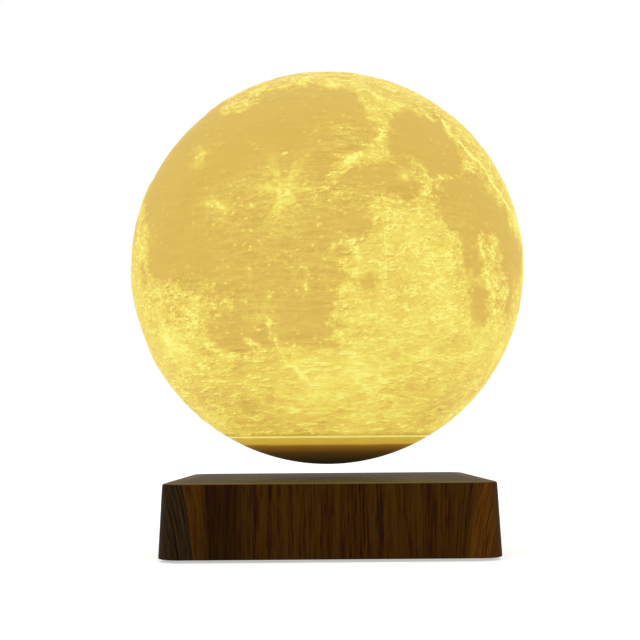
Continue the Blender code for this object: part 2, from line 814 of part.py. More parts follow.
def sensor_board():
    def board(bm):
        cylinder_in(bm, SENSOR_BOARD_RADIUS, SENSOR_BOARD_Z, SENSOR_BOARD_TOP_Z, segments=RING_SEGMENTS)

    place("sensor_board", mesh_from("sensor_board", board), "board_green")
    for k in range(HALL_COUNT):
        angle = math.tau * k / HALL_COUNT
        at = polar(HALL_CIRCLE, angle)
        package(f"hall_sensor_{k + 1}", HALL_SIZE, at, SENSOR_BOARD_TOP_Z + GAP, angle=angle + math.pi / 2)


# Magnet carrier, ring magnet and steering coils


def coil_places():
    """The coils' middles, on a square whose corners lie between the walls' middles."""
    angles = [math.pi * (2 * k + 1) / COIL_COUNT for k in range(COIL_COUNT)]
    return [polar(COIL_CIRCLE, a) for a in angles]


def magnet_carrier():
    profile = [
        (CARRIER_OUTER, CARRIER_TOP_Z),
        (CARRIER_OUTER, CARRIER_BOTTOM_Z),
        (CARRIER_OUTER - CARRIER_WALL, CARRIER_BOTTOM_Z),
        (CARRIER_OUTER - CARRIER_WALL, CARRIER_PLATE_Z),
        (CARRIER_INNER + CARRIER_WALL, CARRIER_PLATE_Z),
        (CARRIER_INNER + CARRIER_WALL, CARRIER_BOTTOM_Z),
        (CARRIER_INNER, CARRIER_BOTTOM_Z),
        (CARRIER_INNER, CARRIER_PLATE_Z),
        (CARRIER_CENTRE_HOLE, CARRIER_PLATE_Z),
        (CARRIER_CENTRE_HOLE, CARRIER_TOP_Z),
    ]
    ear_top = CARRIER_BOTTOM_Z + CARRIER_EAR_THICKNESS
    ear_start = CARRIER_OUTER - CARRIER_WALL / 2
    ear_length = CARRIER_BOSS_CIRCLE - ear_start
    ear_size = (ear_length, CARRIER_EAR_RADIUS * 2, CARRIER_EAR_THICKNESS)
    ear_middle = (ear_start + ear_length / 2, 0, CARRIER_BOTTOM_Z + CARRIER_EAR_THICKNESS / 2)

    def ears(bm):
        for angle in CARRIER_BOSS_ANGLES:
            before = len(bm.verts)
            box_in(bm, ear_size, ear_middle)
            bm.verts.ensure_lookup_table()
            bmesh.ops.rotate(bm, verts=bm.verts[before:], matrix=Matrix.Rotation(angle, 3, "Z"))

    def ear_ends(bm):
        for place_xy in carrier_boss_places():
            cylinder_in(bm, CARRIER_EAR_RADIUS, CARRIER_BOTTOM_Z, ear_top, place_xy)

    def ear_holes(bm):
        low, high = CARRIER_BOTTOM_Z - OVERRUN, ear_top + OVERRUN
        for place_xy in carrier_boss_places():
            cylinder_in(bm, SCREW_RADIUS + GAP, low, high, place_xy, SCREW_SEGMENTS)

    def pegs(bm):
        low, high = CARRIER_PLATE_Z - BOBBIN_PEG_LENGTH, CARRIER_TOP_Z - CARRIER_WALL / 2
        for place_xy in coil_places():
            cylinder_in(bm, BOBBIN_PEG_RADIUS, low, high, place_xy, SPOOL_SEGMENTS)

    carrier = turned("magnet_carrier", profile, RING_SEGMENTS, "black_plastic")
    join(carrier, "carrier_ears", ears)
    join(carrier, "carrier_ear_ends", ear_ends)
    join(carrier, "bobbin_pegs", pegs)
    cut(carrier, "carrier_ear_holes", ear_holes)
    for k, place_xy in enumerate(carrier_boss_places(), 1):
        at = (*place_xy, CARRIER_BOTTOM_Z - GAP)
        pan_screw(f"carrier_screw_{k}", CARRIER_SCREW_LENGTH, at, upward=True)


def ring_magnet():
    """The fixed magnet, with the chamfers of a pressed ferrite ring on its outer edges."""
    chamfer = RING_MAGNET_EDGE
    profile = [
        (RING_MAGNET_OUTER - chamfer, RING_MAGNET_TOP_Z),
        (RING_MAGNET_OUTER, RING_MAGNET_TOP_Z - chamfer),
        (RING_MAGNET_OUTER, RING_MAGNET_Z + chamfer),
        (RING_MAGNET_OUTER - chamfer, RING_MAGNET_Z),
        (RING_MAGNET_INNER, RING_MAGNET_Z),
        (RING_MAGNET_INNER, RING_MAGNET_TOP_Z),
    ]
    turned("ring_magnet", profile, RING_SEGMENTS, "ferrite")


def steering_coils():
    inside = BOBBIN_HEIGHT - BOBBIN_FLANGE
    bobbin = [
        (BOBBIN_FLANGE_RADIUS, BOBBIN_HEIGHT),
        (BOBBIN_FLANGE_RADIUS, inside),
        (BOBBIN_CORE_RADIUS, inside),
        (BOBBIN_CORE_RADIUS, BOBBIN_FLANGE),
        (BOBBIN_FLANGE_RADIUS, BOBBIN_FLANGE),
        (BOBBIN_FLANGE_RADIUS, 0),
        (BOBBIN_BORE_RADIUS, 0),
        (BOBBIN_BORE_RADIUS, BOBBIN_HEIGHT),
    ]
    winding_outer = BOBBIN_FLANGE_RADIUS - WINDING_INSET
    winding_inner = BOBBIN_CORE_RADIUS + GAP
    winding = [
        (winding_outer, inside - GAP),
        (winding_outer, BOBBIN_FLANGE + GAP),
        (winding_inner, BOBBIN_FLANGE + GAP),
        (winding_inner, inside - GAP),
    ]
    for k, place_xy in enumerate(coil_places(), 1):
        where = {"location": (*place_xy, BOBBIN_Z)}
        turned(f"coil_bobbin_{k}", bobbin, SPOOL_SEGMENTS, "white_plastic", **where)
        turned(f"coil_winding_{k}", winding, SPOOL_SEGMENTS, "copper", **where)


def power_coil():
    high = POWER_COIL_Z + POWER_COIL_HEIGHT
    ring("power_coil", POWER_COIL_INNER, POWER_COIL_OUTER, POWER_COIL_Z, high, "copper")


# Power inlet, touch switch and their leads


def dc_jack():
    """The barrel jack, turned about its own axis and laid along +Y, with its mouth at the back wall."""
    face = outer_half_width(JACK_HEIGHT) - JACK_RECESS
    shoulder = inner_half_width(JACK_HEIGHT + JACK_BODY_RADIUS) - GAP
    rear = shoulder - JACK_BODY_LENGTH
    floor = face - JACK_BORE_DEPTH
    pin_hole = JACK_PIN_RADIUS + GAP
    lay_back = (-math.pi / 2, 0, 0)
    at = (0, 0, JACK_HEIGHT)
    body = [
        (JACK_NOSE_RADIUS - JACK_EDGE, face),
        (JACK_NOSE_RADIUS, face - JACK_EDGE),
        (JACK_NOSE_RADIUS, shoulder),
        (JACK_BODY_RADIUS, shoulder),
        (JACK_BODY_RADIUS, rear),
        (pin_hole, rear),
        (pin_hole, floor),
        (JACK_BORE_RADIUS, floor),
        (JACK_BORE_RADIUS, face - JACK_EDGE),
        (JACK_BORE_RADIUS + JACK_EDGE, face),
    ]
    pin_tip = face - JACK_PIN_INSET
    pin = [
        (0, pin_tip),
        (JACK_PIN_RADIUS - JACK_EDGE, pin_tip),
        (JACK_PIN_RADIUS, pin_tip - JACK_EDGE),
        (JACK_PIN_RADIUS, rear - JACK_PIN_TAIL),
        (0, rear - JACK_PIN_TAIL),
    ]
    where = {"location": at, "rotation": lay_back}
    turned("dc_jack", body, ROUND_SEGMENTS, "black_plastic", **where)
    turned("dc_jack_pin", pin, SPOOL_SEGMENTS, "nickel", closed=False, **where)
    landing = CONTROL_BOARD_WIDTH / 2 - LEAD_LANDING
    start = (POWER_LEAD_OFFSET, rear - GAP, JACK_HEIGHT - POWER_LEAD_DROP)
    end = (POWER_LEAD_OFFSET, landing, CONTROL_BOARD_TOP_Z + GAP)
    lead("power_lead", start, (0, -1, 0), end, (0, 0, -1), LEAD_RADIUS)


def touch_switch():
    """A foil stuck behind the front wall, parallel to its drafted inner face, and its lead."""
    width, thickness, height = FOIL_SIZE
    middle_z = BASE_BOTTOM_Z + BASE_HEIGHT / 2
    off_wall = GAP + thickness / 2
    middle_y = -(inner_half_width(middle_z) - off_wall / math.cos(BASE_DRAFT))

    def foil(bm):
        box_in(bm, (width, thickness, height), (0, 0, 0))

    where = {"location": (0, middle_y, middle_z), "rotation": (-BASE_DRAFT, 0, 0)}
    place("touch_foil", mesh_from("touch_foil", foil), "copper", **where)
    landing = CONTROL_BOARD_WIDTH / 2 - LEAD_LANDING
    start = (TOUCH_LEAD_OFFSET, middle_y + thickness / 2 + GAP, middle_z)
    end = (TOUCH_LEAD_OFFSET, -landing, CONTROL_BOARD_TOP_Z + GAP)
    lead("touch_lead", start, (0, 1, 0), end, (0, 0, -1), LEAD_RADIUS)


# Floating sphere


def smooth_step(low, high, value):
    share = min(max((value - low) / (high - low), 0), 1)
    return share * share * (3 - 2 * share)


def front_direction(longitude, latitude):
    """A unit vector for degrees right of and above the sphere's front."""
    lon, lat = math.radians(longitude), math.radians(latitude)
    return Vector((math.sin(lon) * math.cos(lat), -math.cos(lon) * math.cos(lat), math.sin(lat)))


def local_degrees(direction, longitude, latitude):
    """How far a direction lies right of and above a place on the sphere, in degrees."""
    ahead = front_direction(longitude, latitude)
    right = front_direction(longitude + 90, 0)
    above = ahead.cross(right) * -1
    depth = direction.dot(ahead)
    if depth <= 0:
        return None
    along = math.degrees(math.atan2(direction.dot(right), depth))
    up = math.degrees(math.atan2(direction.dot(above), depth))
    return along, up


def sea_share(direction):
    """How far a direction lies inside the seas, from 0 on the highlands to 1."""
    sea = 0
    for longitude, latitude, half_width, half_height in SEAS:
        offset = local_degrees(direction, longitude, latitude)
        if offset:
            out = math.hypot(offset[0] / half_width, offset[1] / half_height)
            sea = max(sea, smooth_step(1 + SEA_EDGE_SHARE, 1 - SEA_EDGE_SHARE, out))
    return sea


def crater_height(out):
    """A crater's height at a share of its radius: a flat floor, a raised rim and a skirt that falls away."""
    if out >= CRATER_SKIRT_SHARE:
        return 0
    if out >= 1:
        return CRATER_RIM * smooth_step(CRATER_SKIRT_SHARE, 1, out)
    return (CRATER_DEPTH + CRATER_RIM) * smooth_step(CRATER_FLOOR_SHARE, 1, out) - CRATER_DEPTH


def relief(direction):
    """How far the sphere's surface stands from its plain radius in a direction on the map."""
    height = -SEA_DEPTH * sea_share(direction)
    for longitude, latitude, radius in CRATERS:
        away = math.degrees(direction.angle(front_direction(longitude, latitude)))
        height += crater_height(away / radius)
    return height


def map_turn():
    """The turn from the map's own axes to the sphere's."""
    swing = Matrix.Rotation(MAP_SWING, 3, "Z")
    roll = Matrix.Rotation(MAP_ROLL, 3, "Y")
    return swing @ roll @ Matrix.Rotation(MAP_LEAN, 3, "X")


def moon_shell(parent):
    """The printed sphere: a relief outside, a plain hollow inside, and the mouth cut level at the seam."""
    onto_map = map_turn().inverted()

    def outside(bm):
        bmesh.ops.create_icosphere(bm, subdivisions=SHELL_SUBDIVISIONS, radius=MOON_RADIUS)
        for vert in bm.verts:
            direction = vert.co.normalized()
            calm = smooth_step(SEAM_Z, SEAM_Z + SEAM_CALM, vert.co.z)
            vert.co = direction * (MOON_RADIUS + calm * relief(onto_map @ direction))

    def below_seam(bm):
        depth = MOON_RADIUS * 2
        box_in(bm, (depth, depth, depth), (0, 0, SEAM_Z - depth / 2))

    rings = SPHERE_SEGMENTS // 2
    angles = [math.pi * k / rings for k in range(rings + 1)]
    hollow = [(SHELL_INNER_RADIUS * math.sin(a), SHELL_INNER_RADIUS * math.cos(a)) for a in angles]
    hollow[0] = (0, SHELL_INNER_RADIUS)
    hollow[-1] = (0, -SHELL_INNER_RADIUS)
    inside = turned("shell_hollow", hollow, SPHERE_SEGMENTS, closed=False, parent=parent)
    shell = place("moon_shell", mesh_from("moon_shell", outside), "moon_print", parent=parent)
    boolean(shell, inside, "DIFFERENCE")
    mouth = place("shell_mouth", mesh_from("shell_mouth", below_seam), parent=parent)
    boolean(shell, mouth, "DIFFERENCE")


def mouth_ring(parent):
    """The ring glued in the sphere's mouth: a collar for the cap and a flange that follows the sphere."""
    flange_top = SEAM_Z + COLLAR_FLANGE_HEIGHT
    collar_top = SEAM_Z + COLLAR_HEIGHT
    flange_inside = COLLAR_SEAT_RADIUS - COLLAR_WALL
    collar_outside = COLLAR_BORE_RADIUS + COLLAR_WALL
    outer_top = level_radius(COLLAR_SEAT_RADIUS, flange_top)
    outer_low = level_radius(COLLAR_SEAT_RADIUS, SEAM_Z)
    inner_top = level_radius(flange_inside, flange_top)
    profile = arc(COLLAR_SEAT_RADIUS, outer_top, outer_low, ARC_STEPS)
    profile += [
        (COLLAR_BORE_RADIUS, SEAM_Z),
        (COLLAR_BORE_RADIUS, collar_top),
        (collar_outside, collar_top),
    ]
    profile += arc(flange_inside, collar_outside, inner_top, 1)
    turned("mouth_ring", profile, SPHERE_SEGMENTS, "white_plastic", parent=parent)


def bottom_cap(parent):
    """The dish below the seam. Its spigot stands inside the collar."""
    spigot_top = SEAM_Z + SPIGOT_HEIGHT
    rim_z = SEAM_Z - GAP
    rim_radius = level_radius(MOON_RADIUS, rim_z)
    profile = arc(CAP_INNER_RADIUS, 0, SPIGOT_INSIDE_RADIUS, ARC_STEPS)
    profile += [
        (SPIGOT_INSIDE_RADIUS, spigot_top),
        (SPIGOT_RADIUS, spigot_top),
        (SPIGOT_RADIUS, rim_z),
    ]
    profile += arc(MOON_RADIUS, rim_radius, 0, CAP_ARC_STEPS)
    turned("bottom_cap", profile, SPHERE_SEGMENTS, "cap_print", closed=False, parent=parent)


def tray_post_places():
    return [polar(TRAY_POST_CIRCLE, a) for a in TRAY_POST_ANGLES]


def magnet_tray(parent):
    """The opaque tray on the cap's floor: a pocket for the magnet, a channel for the coil, three posts."""
    channel_outside = TRAY_RADIUS - TRAY_WALL
    profile = [
        (0, POCKET_FLOOR_Z),
        (POCKET_RADIUS, POCKET_FLOOR_Z),
        (POCKET_RADIUS, TRAY_TOP_Z),
        (POCKET_WALL_RADIUS, TRAY_TOP_Z),
        (POCKET_WALL_RADIUS, CHANNEL_FLOOR_Z),
        (channel_outside, CHANNEL_FLOOR_Z),
        (channel_outside, TRAY_TOP_Z),
        (TRAY_RADIUS, TRAY_TOP_Z),
    ]
    profile += arc(TRAY_SEAT_RADIUS, TRAY_RADIUS, 0, ARC_STEPS)

    def posts(bm):
        low = CHANNEL_FLOOR_Z - TRAY_FLOOR / 2
        for place_xy in tray_post_places():
            cylinder_in(bm, TRAY_POST_RADIUS, low, TRAY_POST_TOP_Z, place_xy, SPOOL_SEGMENTS)

    def post_holes(bm):
        hole = SCREW_RADIUS + GAP
        low = LED_BOARD_TOP_Z - TRAY_SCREW_LENGTH - OVERRUN / 4
        for place_xy in tray_post_places():
            cylinder_in(bm, hole, low, TRAY_POST_TOP_Z + OVERRUN, place_xy, SCREW_SEGMENTS)

    where = {"closed": False, "parent": parent}
    tray = turned("magnet_tray", profile, SPHERE_SEGMENTS, "black_plastic", **where)
    join(tray, "tray_posts", posts)
    cut(tray, "tray_post_holes", post_holes)
    for k, place_xy in enumerate(tray_post_places(), 1):
        at = (*place_xy, LED_BOARD_TOP_Z + GAP)
        pan_screw(f"tray_screw_{k}", TRAY_SCREW_LENGTH, at, upward=False, parent=parent)


def float_magnet(parent):
    size = (FLOAT_MAGNET_RADIUS, FLOAT_MAGNET_Z, FLOAT_MAGNET_Z + FLOAT_MAGNET_HEIGHT, FLOAT_MAGNET_EDGE)
    disc("float_magnet", *size, RING_SEGMENTS, "nickel", parent=parent)


def receiver(parent):
    inner, outer = RECEIVER_COIL_INNER, RECEIVER_COIL_OUTER
    coil_high = RECEIVER_COIL_Z + RECEIVER_COIL_HEIGHT
    ring("receiver_coil", inner, outer, RECEIVER_COIL_Z, coil_high, "copper", parent=parent)
    shield_high = SHIELD_Z + SHIELD_THICKNESS
    ring("shield_ring", inner, outer, SHIELD_Z, shield_high, "ferrite", parent=parent)
    beside = RECEIVER_COIL_INNER - GAP - MOON_LEAD_RADIUS
    x, y = polar(beside, MOON_LEAD_ANGLE)
    start, end = (x, y, RECEIVER_COIL_Z), (x, y, LED_BOARD_Z - GAP)
    lead("receiver_lead", start, (0, 0, 1), end, (0, 0, 1), MOON_LEAD_RADIUS, parent=parent)


def led_board(parent):
    low, high = LED_BOARD_Z, LED_BOARD_TOP_Z

    def board(bm):
        cylinder_in(bm, LED_BOARD_RADIUS, low, high, segments=RING_SEGMENTS)

    def holes(bm):
        hole = SCREW_RADIUS + GAP
        for place_xy in tray_post_places():
            cylinder_in(bm, hole, low - OVERRUN, high + OVERRUN, place_xy, SCREW_SEGMENTS)

    lamp_board = place("led_board", mesh_from("led_board", board), "board_white", parent=parent)
    cut(lamp_board, "led_board_holes", holes)


def leds(parent):
    """Square packages on a circle round the board's middle, each with a low dome of phosphor."""
    height = LED_SIZE[2]
    circle = LED_BOARD_RADIUS * LED_CIRCLE_SHARE

    def body(bm):
        box_in(bm, LED_SIZE, (0, 0, height / 2))

    def dome(bm):
        sides = {"u_segments": LED_DOME_SEGMENTS, "v_segments": LED_DOME_RINGS}
        matrix = Matrix.Translation((0, 0, height))
        bmesh.ops.create_uvsphere(bm, **sides, radius=LED_DOME, matrix=matrix)

    for k in range(LED_COUNT):
        angle = math.tau * k / LED_COUNT
        at = (*polar(circle, angle), LED_BOARD_TOP_Z + GAP)
        where = {"location": at, "rotation": (0, 0, angle), "parent": parent}
        name = f"led_{k + 1}"
        lamp = place(name, mesh_from(name, body), "led_yellow", **where)
        boolean(lamp, place(f"{name}_dome", mesh_from(f"{name}_dome", dome), **where), "UNION")


# Assembly


def shade_round_pieces():
    """Fixes each piece's modelled form as its mesh, smooth but for its sharp edges."""
    graph = bpy.context.evaluated_depsgraph_get()
    for obj in [o for o in PARTS.objects if o.type == "MESH"]:
        mesh = bpy.data.meshes.new_from_object(obj.evaluated_get(graph))
        mesh.shade_smooth()
        mesh.set_sharp_from_angle(angle=SHARP_ANGLE)
        mesh.name = obj.name
        obj.modifiers.clear()
        obj.data = mesh


def main():
    base_housing()
    bottom_cover()
    foot_pads()
    control_board()
    board_parts()
    sensor_board()
    magnet_carrier()
    ring_magnet()
    steering_coils()
    power_coil()
    dc_jack()
    touch_switch()
    lift = new_empty("moon_lift_axis", (0, 0, MOON_CENTRE_Z))
    spin = new_empty("moon_spin_axis", (0, 0, 0), parent=lift)
    float_magnet(lift)
    moon_shell(spin)
    mouth_ring(spin)
    bottom_cap(spin)
    magnet_tray(spin)
    receiver(spin)
    led_board(spin)
    leds(spin)
    shade_round_pieces()


main()
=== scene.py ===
"""The looks of the levitating lamp: a lit sphere with the Moon's relief above a square walnut-finish base."""
import itertools
import json
import math

import bmesh
import bpy
import numpy as np
from mathutils import Matrix, Vector


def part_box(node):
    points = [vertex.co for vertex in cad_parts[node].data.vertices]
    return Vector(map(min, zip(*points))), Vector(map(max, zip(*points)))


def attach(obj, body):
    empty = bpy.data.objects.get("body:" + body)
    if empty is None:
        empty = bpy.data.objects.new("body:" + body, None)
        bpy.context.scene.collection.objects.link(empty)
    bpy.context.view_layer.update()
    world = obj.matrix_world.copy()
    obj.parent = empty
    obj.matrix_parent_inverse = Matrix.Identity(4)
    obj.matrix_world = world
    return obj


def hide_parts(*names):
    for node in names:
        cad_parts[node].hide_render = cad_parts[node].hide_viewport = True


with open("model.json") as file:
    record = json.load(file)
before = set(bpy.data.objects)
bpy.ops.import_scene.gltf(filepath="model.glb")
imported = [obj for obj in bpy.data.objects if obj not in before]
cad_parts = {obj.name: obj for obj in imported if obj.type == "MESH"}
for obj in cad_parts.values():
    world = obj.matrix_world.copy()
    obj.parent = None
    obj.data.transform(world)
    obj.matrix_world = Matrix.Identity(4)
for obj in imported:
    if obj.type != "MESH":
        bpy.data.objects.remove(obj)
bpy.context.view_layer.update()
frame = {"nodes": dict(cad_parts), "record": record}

# Camera, matched to the photograph's frame
PICTURE_SIZE = 640
FOCAL_PIXELS = 1171
SENSOR_WIDTH_MM = 36
CAMERA_PLACE = (-0.0034, -0.540, 0.0494)
CAMERA_PITCH = math.radians(5.72)
CAMERA_ROLL = math.radians(0.44)
CAMERA_TURN = Matrix.Rotation(math.pi / 2 + CAMERA_PITCH, 3, "X") @ Matrix.Rotation(-CAMERA_ROLL, 3, "Z")

# Studio
FLOOR_SIZE = 8.0
FLOOR_COLOUR = (0.90, 0.90, 0.89, 1.0)
FLOOR_ROUGHNESS = 0.9
FLOOR_SPECULAR = 0.1
FLOOR_LIFT = 0.50
WORLD_LIGHT = 0.62
WHITE = (1.0, 1.0, 1.0, 1.0)
SOFT_BOXES = (
    # place, size, watts
    ((-0.9, -1.1, 1.1), 0.9, 5.5),
    ((1.1, -0.8, 0.8), 0.9, 3.0),
    ((0.0, 0.9, 1.3), 0.9, 3.5),
)
LIT_PLACE = Vector((0, 0, 0.1))

# The lit sphere's own warm light on the base's top: place, width and watts
GLOW_PLACE = (0.0, 0.0, 0.0368)
GLOW_WIDTH = 0.090
GLOW_WATTS = 0.006
GLOW_COLOUR = (1.0, 0.76, 0.40)

# Sizes read from the frame
CAP_LOW, CAP_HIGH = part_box("bottom_cap")
CASE_LOW, CASE_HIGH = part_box("base_housing")
JACK_LOW, JACK_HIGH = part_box("dc_jack")
MOON_RADIUS = 0.090
SEAM_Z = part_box("moon_shell")[0].z
MOON_CENTRE = Vector((0, 0, CAP_LOW.z + MOON_RADIUS))

# Sphere mesh: finer over the front than over the back, and level rings from the top to the seam
FRONT_COLUMNS = 250
BACK_COLUMNS = 130
COLUMNS = FRONT_COLUMNS + BACK_COLUMNS
RING_COUNT = 248
INNER_RINGS = 10
SHELL_WALL = 0.0018

# Seeded small craters: how many, their least and most radius in degrees, and how they gather on the highlands
SMALL_CRATERS = 2600
SMALL_RADII = (0.35, 2.4)
SMALL_SEED = 11
SEA_CRATER_SHARE = 0.10
SMALL_CRATER_LIGHT = 0.22
# A crater's shape by the share of its radius: where it ends, how wide its rim is and where its bowl lies
CRATER_REACH_SHARE = 1.9
RIM_WIDTH_SHARE = 0.24
BOWL_SHARES = (1.0, 0.55)
RIM_RISE_SHARE = 0.8
DEEPEST_CRATER = 1.4
# How bright a crater's rim is and how dark its bowl
RIM_LIGHT = 0.34
BOWL_SHADE = 0.16
# Light of the large craters' rims, stronger past this longitude, where nothing else marks the print
NEAR_CRATER_LIGHT = 0.42
FAR_CRATER_LIGHT = 1.40
FAR_LONGITUDE = 100

# Heights of the relief, in metres
SEA_DROP = 0.00045
ROUGH_RISE = 0.00036
CRATER_RISE = 0.00026
RELIEF_LIMIT = 0.0007
SEAM_CALM = 0.010

# How far from a shore the sea's depth is told, and how much noise frays the shore, in degrees
SHORE_REACH = 4.0
SHORE_FRAY = 1.4
# Where the mesh goes over from dry land to the sea's floor, by the sea's depth
SHORE_SLOPE = (0.42, 0.58)

# Noise over the sphere: cells of its lattice, how far it swings, and each octave's gain in the ridges
NOISE_CELLS = 64
NOISE_SWING = 1.6
RIDGE_GAIN = 0.6

# Craters with rays: how fast the rays fade, and the strength of the apron and the rays beside the core
RAY_FADE = 2.2
APRON_SHARE = 0.42
RAY_SHARE = 0.75
# How fast the shine of the rayed craters and the marks fill up to 1
SHINE_GAIN = 1.6
MARK_GAIN = 1.3

# How the mottle, the crests and the ranges add to the print's light
MOTTLE_LIGHT = 0.10
CREST_LIGHT = 0.20
MIDDLE_CREST = 0.42
RANGE_LIGHT = 0.45

# How the Moon's map is turned on the sphere: swung to the right, rolled and leant back
MAP_SWING = math.radians(8.6)
MAP_ROLL = math.radians(0.7)
MAP_LEAN = math.radians(-2.4)


def map_turn():
    """The turn from the map's own axes to the sphere's."""
    swing = Matrix.Rotation(MAP_SWING, 3, "Z")
    roll = Matrix.Rotation(MAP_ROLL, 3, "Y")
    return np.array(swing @ roll @ Matrix.Rotation(MAP_LEAN, 3, "X"))


def seen(*pixels):
    """The places on the map, to the nearest half degree, that show at pixels of the photograph's frame."""
    towards = MOON_CENTRE - Vector(CAMERA_PLACE)
    places = []
    for x, y in pixels:
        ray = CAMERA_TURN @ Vector((x - PICTURE_SIZE / 2, PICTURE_SIZE / 2 - y, -FOCAL_PIXELS))
        ray.normalize()
        middle = ray.dot(towards)
        reach = middle - math.sqrt(middle**2 - towards.length_squared + MOON_RADIUS**2)
        out = np.array(ray * reach - towards) / MOON_RADIUS @ map_turn()
        degrees = (math.degrees(math.atan2(out[0], -out[1])), math.degrees(math.asin(out[2])))
        places.append([round(2 * angle) / 2 for angle in degrees])
    return places


# Shores of the near side's seas, read off the photograph: pixels in seen(...), and the other
# places as (longitude, latitude) in the map's degrees
SEAS = (
    # the wide western sea with its bays, and the middle's own
    (
        *seen(
            (254, 100), (262, 92), (276, 89), (290, 90), (300, 85), (312, 82), (330, 87), (350, 90),
            (357, 102), (367, 110), (371, 117), (378, 122), (382, 132), (376, 142), (368, 150), (358, 157),
            (345, 165), (330, 172), (352, 168), (372, 164), (388, 160), (400, 161), (410, 168), (418, 176),
            (420, 190), (412, 200), (400, 200), (388, 196), (380, 200), (372, 212), (376, 226), (364, 236),
            (350, 244),
        ),
        (-1.5, -8), (-5, -11), (-2, -13.5), (-6, -16.5), (-3, -19), (-8, -22.5), (-4, -25), (-8.5, -28),
        *seen(
            (338, 345), (322, 348), (300, 351), (275, 354), (262, 352), (250, 352), (235, 358), (222, 357),
            (212, 350), (203, 338), (206, 325), (205, 312), (192, 305), (185, 292), (172, 290), (160, 282),
        ),
        (-66, -6), (-66, 1), (-69, 7), (-74, 14), (-82, 18), (-92, 30), (-90, 48), (-62, 52), (-53, 42),
        (-42, 39.5), (-38, 41.5),
    ),
    # the round sea in the upper right
    seen(
        (391, 130), (389, 150), (390, 160), (400, 162), (411, 159), (420, 168), (432, 176), (447, 178),
        (458, 176), (465, 171), (464, 162), (460, 152), (456, 142), (450, 136), (445, 126), (441, 118),
        (428, 118), (413, 110), (400, 111), (391, 113), (388, 120),
    ),
    # the pair of seas at the right, with the strip along the limb
    (
        *seen(
            (437, 178), (447, 178), (458, 176), (465, 171), (477, 166), (483, 173), (491, 180), (494, 192),
            (501, 203), (506, 212),
        ),
        (52.5, 8),
        *seen(
            (512, 228), (518, 238),
        ),
        (66, 2), (66, -2.5), (63, -7), (60, -11.5), (58, -16),
        *seen(
            (507, 317), (503, 314), (505, 304), (508, 296), (507, 285),
        ),
        (47, -8), (45, -5), (47, -3), (43, -1), (45.5, 1), (42, 0), (40.5, 3), (38.5, 0.5), (36.5, 2.5),
        (35, -0.5), (37, -3), (34, -5), (36.5, -7),
        *seen(
            (477, 274), (468, 274), (464, 266), (462, 255), (460, 247), (455, 240), (448, 232), (440, 222),
            (436, 205), (433, 190),
        ),
    ),
    # the small sea under them
    seen(
        (471, 288), (478, 283), (487, 286), (490, 295), (489, 305), (487, 315), (484, 321), (478, 319),
        (473, 312), (468, 302), (467, 294),
    ),
    # small ones: on the left limb, in the middle of the highlands, and at the top
    ((-73, -6.5), (-71.5, -3.5), (-69.5, -3.5), (-68.5, -6.5), (-69.5, -9.5), (-71.5, -9.5)),
    ((-4, -13), (0, -11.5), (4, -13), (3, -16), (-2, -16.5)),
    ((-12, 55), (-5, 56.5), (3, 56), (3, 54.5), (-5, 54.5)),
)

# Seas towards the far side as (longitude, latitude, half-width, half-height)
FAR_SEAS = (
    (81, 57, 7, 5), (90, 52, 5, 3),
    (-93, -19, 5, 8), (-98, -12, 5, 3),
    (148, 27, 6, 5), (154, 22, 5, 3), (142, 31, 3, 3),
    (129, -20, 3, 5), (125, -14, 4, 2),
    (163, -34, 7, 5), (172, -38, 6, 4), (157, -28, 3, 4),
    (-152, -36, 8, 6), (-163, -41, 6, 3), (-144, -30, 4, 4),
)

# Broad bright or dull regions as (longitude, latitude, half-width, half-height, added light)
REGIONS = (
    (-6, -40, 9, 8, 0.18), (0, -36, 5, 4, 0.08), (15, -2, 12, 7, 0.18), (13, 4, 4, 3, 0.20),
    (26, -17, 7, 7, 0.15), (19, -11, 7, 4, 0.10), (11, -20, 11, 7, 0.05), (45, -12, 6, 7, 0.10),
    (61, 9, 5, 6, 0.20), (-66, -26, 12, 5, 0.22), (-50, -33, 9, 5, 0.05), (-20, 10, 8, 4, 0.15),
    (-38, 8, 6, 3, 0.08), (-4, 27, 4, 3, 0.20), (-41, 47, 6, 4, -0.10), (-40, 55, 10, 7, -0.05),
    (-72, 4, 5, 10, 0.04), (-21, -54, 17, 6, -0.20), (47, -45, 19, 11, -0.12), (10, 68, 60, 9, -0.16),
    (-170, -52, 30, 16, -0.12), (95, -40, 14, 10, -0.14), (12, 7.5, 9, 4, -0.30), (20, 0, 5, 5, -0.16),
    (40, -6, 4, 9, -0.18), (48, -15, 4, 8, -0.16), (-57, -21, 7, 6, -0.18), (-74, -26, 7, 6, -0.20),
    (-47, -30, 4, 4, -0.28), (-35, -34, 8, 4, -0.20), (-20, -30, 5, 3, -0.12), (-52, -44, 12, 6, -0.15),
    (-53, -55, 9, 4, -0.20), (-40, -62, 8, 4, -0.12), (-75, -44, 8, 4, -0.12), (-14, -53, 6, 3, 0.16),
    (19, -37, 4, 6, 0.16), (27, -24, 4, 4, 0.15), (-6, -7, 4, 7, 0.14), (-1, -21, 3, 3, -0.12),
    (44, -52, 6, 5, -0.20), (22, -20, 4, 4, -0.14), (1, -3, 4, 4, -0.12), (1.5, 34, 3, 5, 0.12),
    (33, 40, 3, 3, -0.15), (17, 16, 4, 3, -0.12), (-18.5, 5.5, 3, 2.5, -0.15), (36, 28, 4, 11, -0.20),
    (12, 47, 7, 4, -0.14), (-6, 15, 4, 3, -0.12),
)

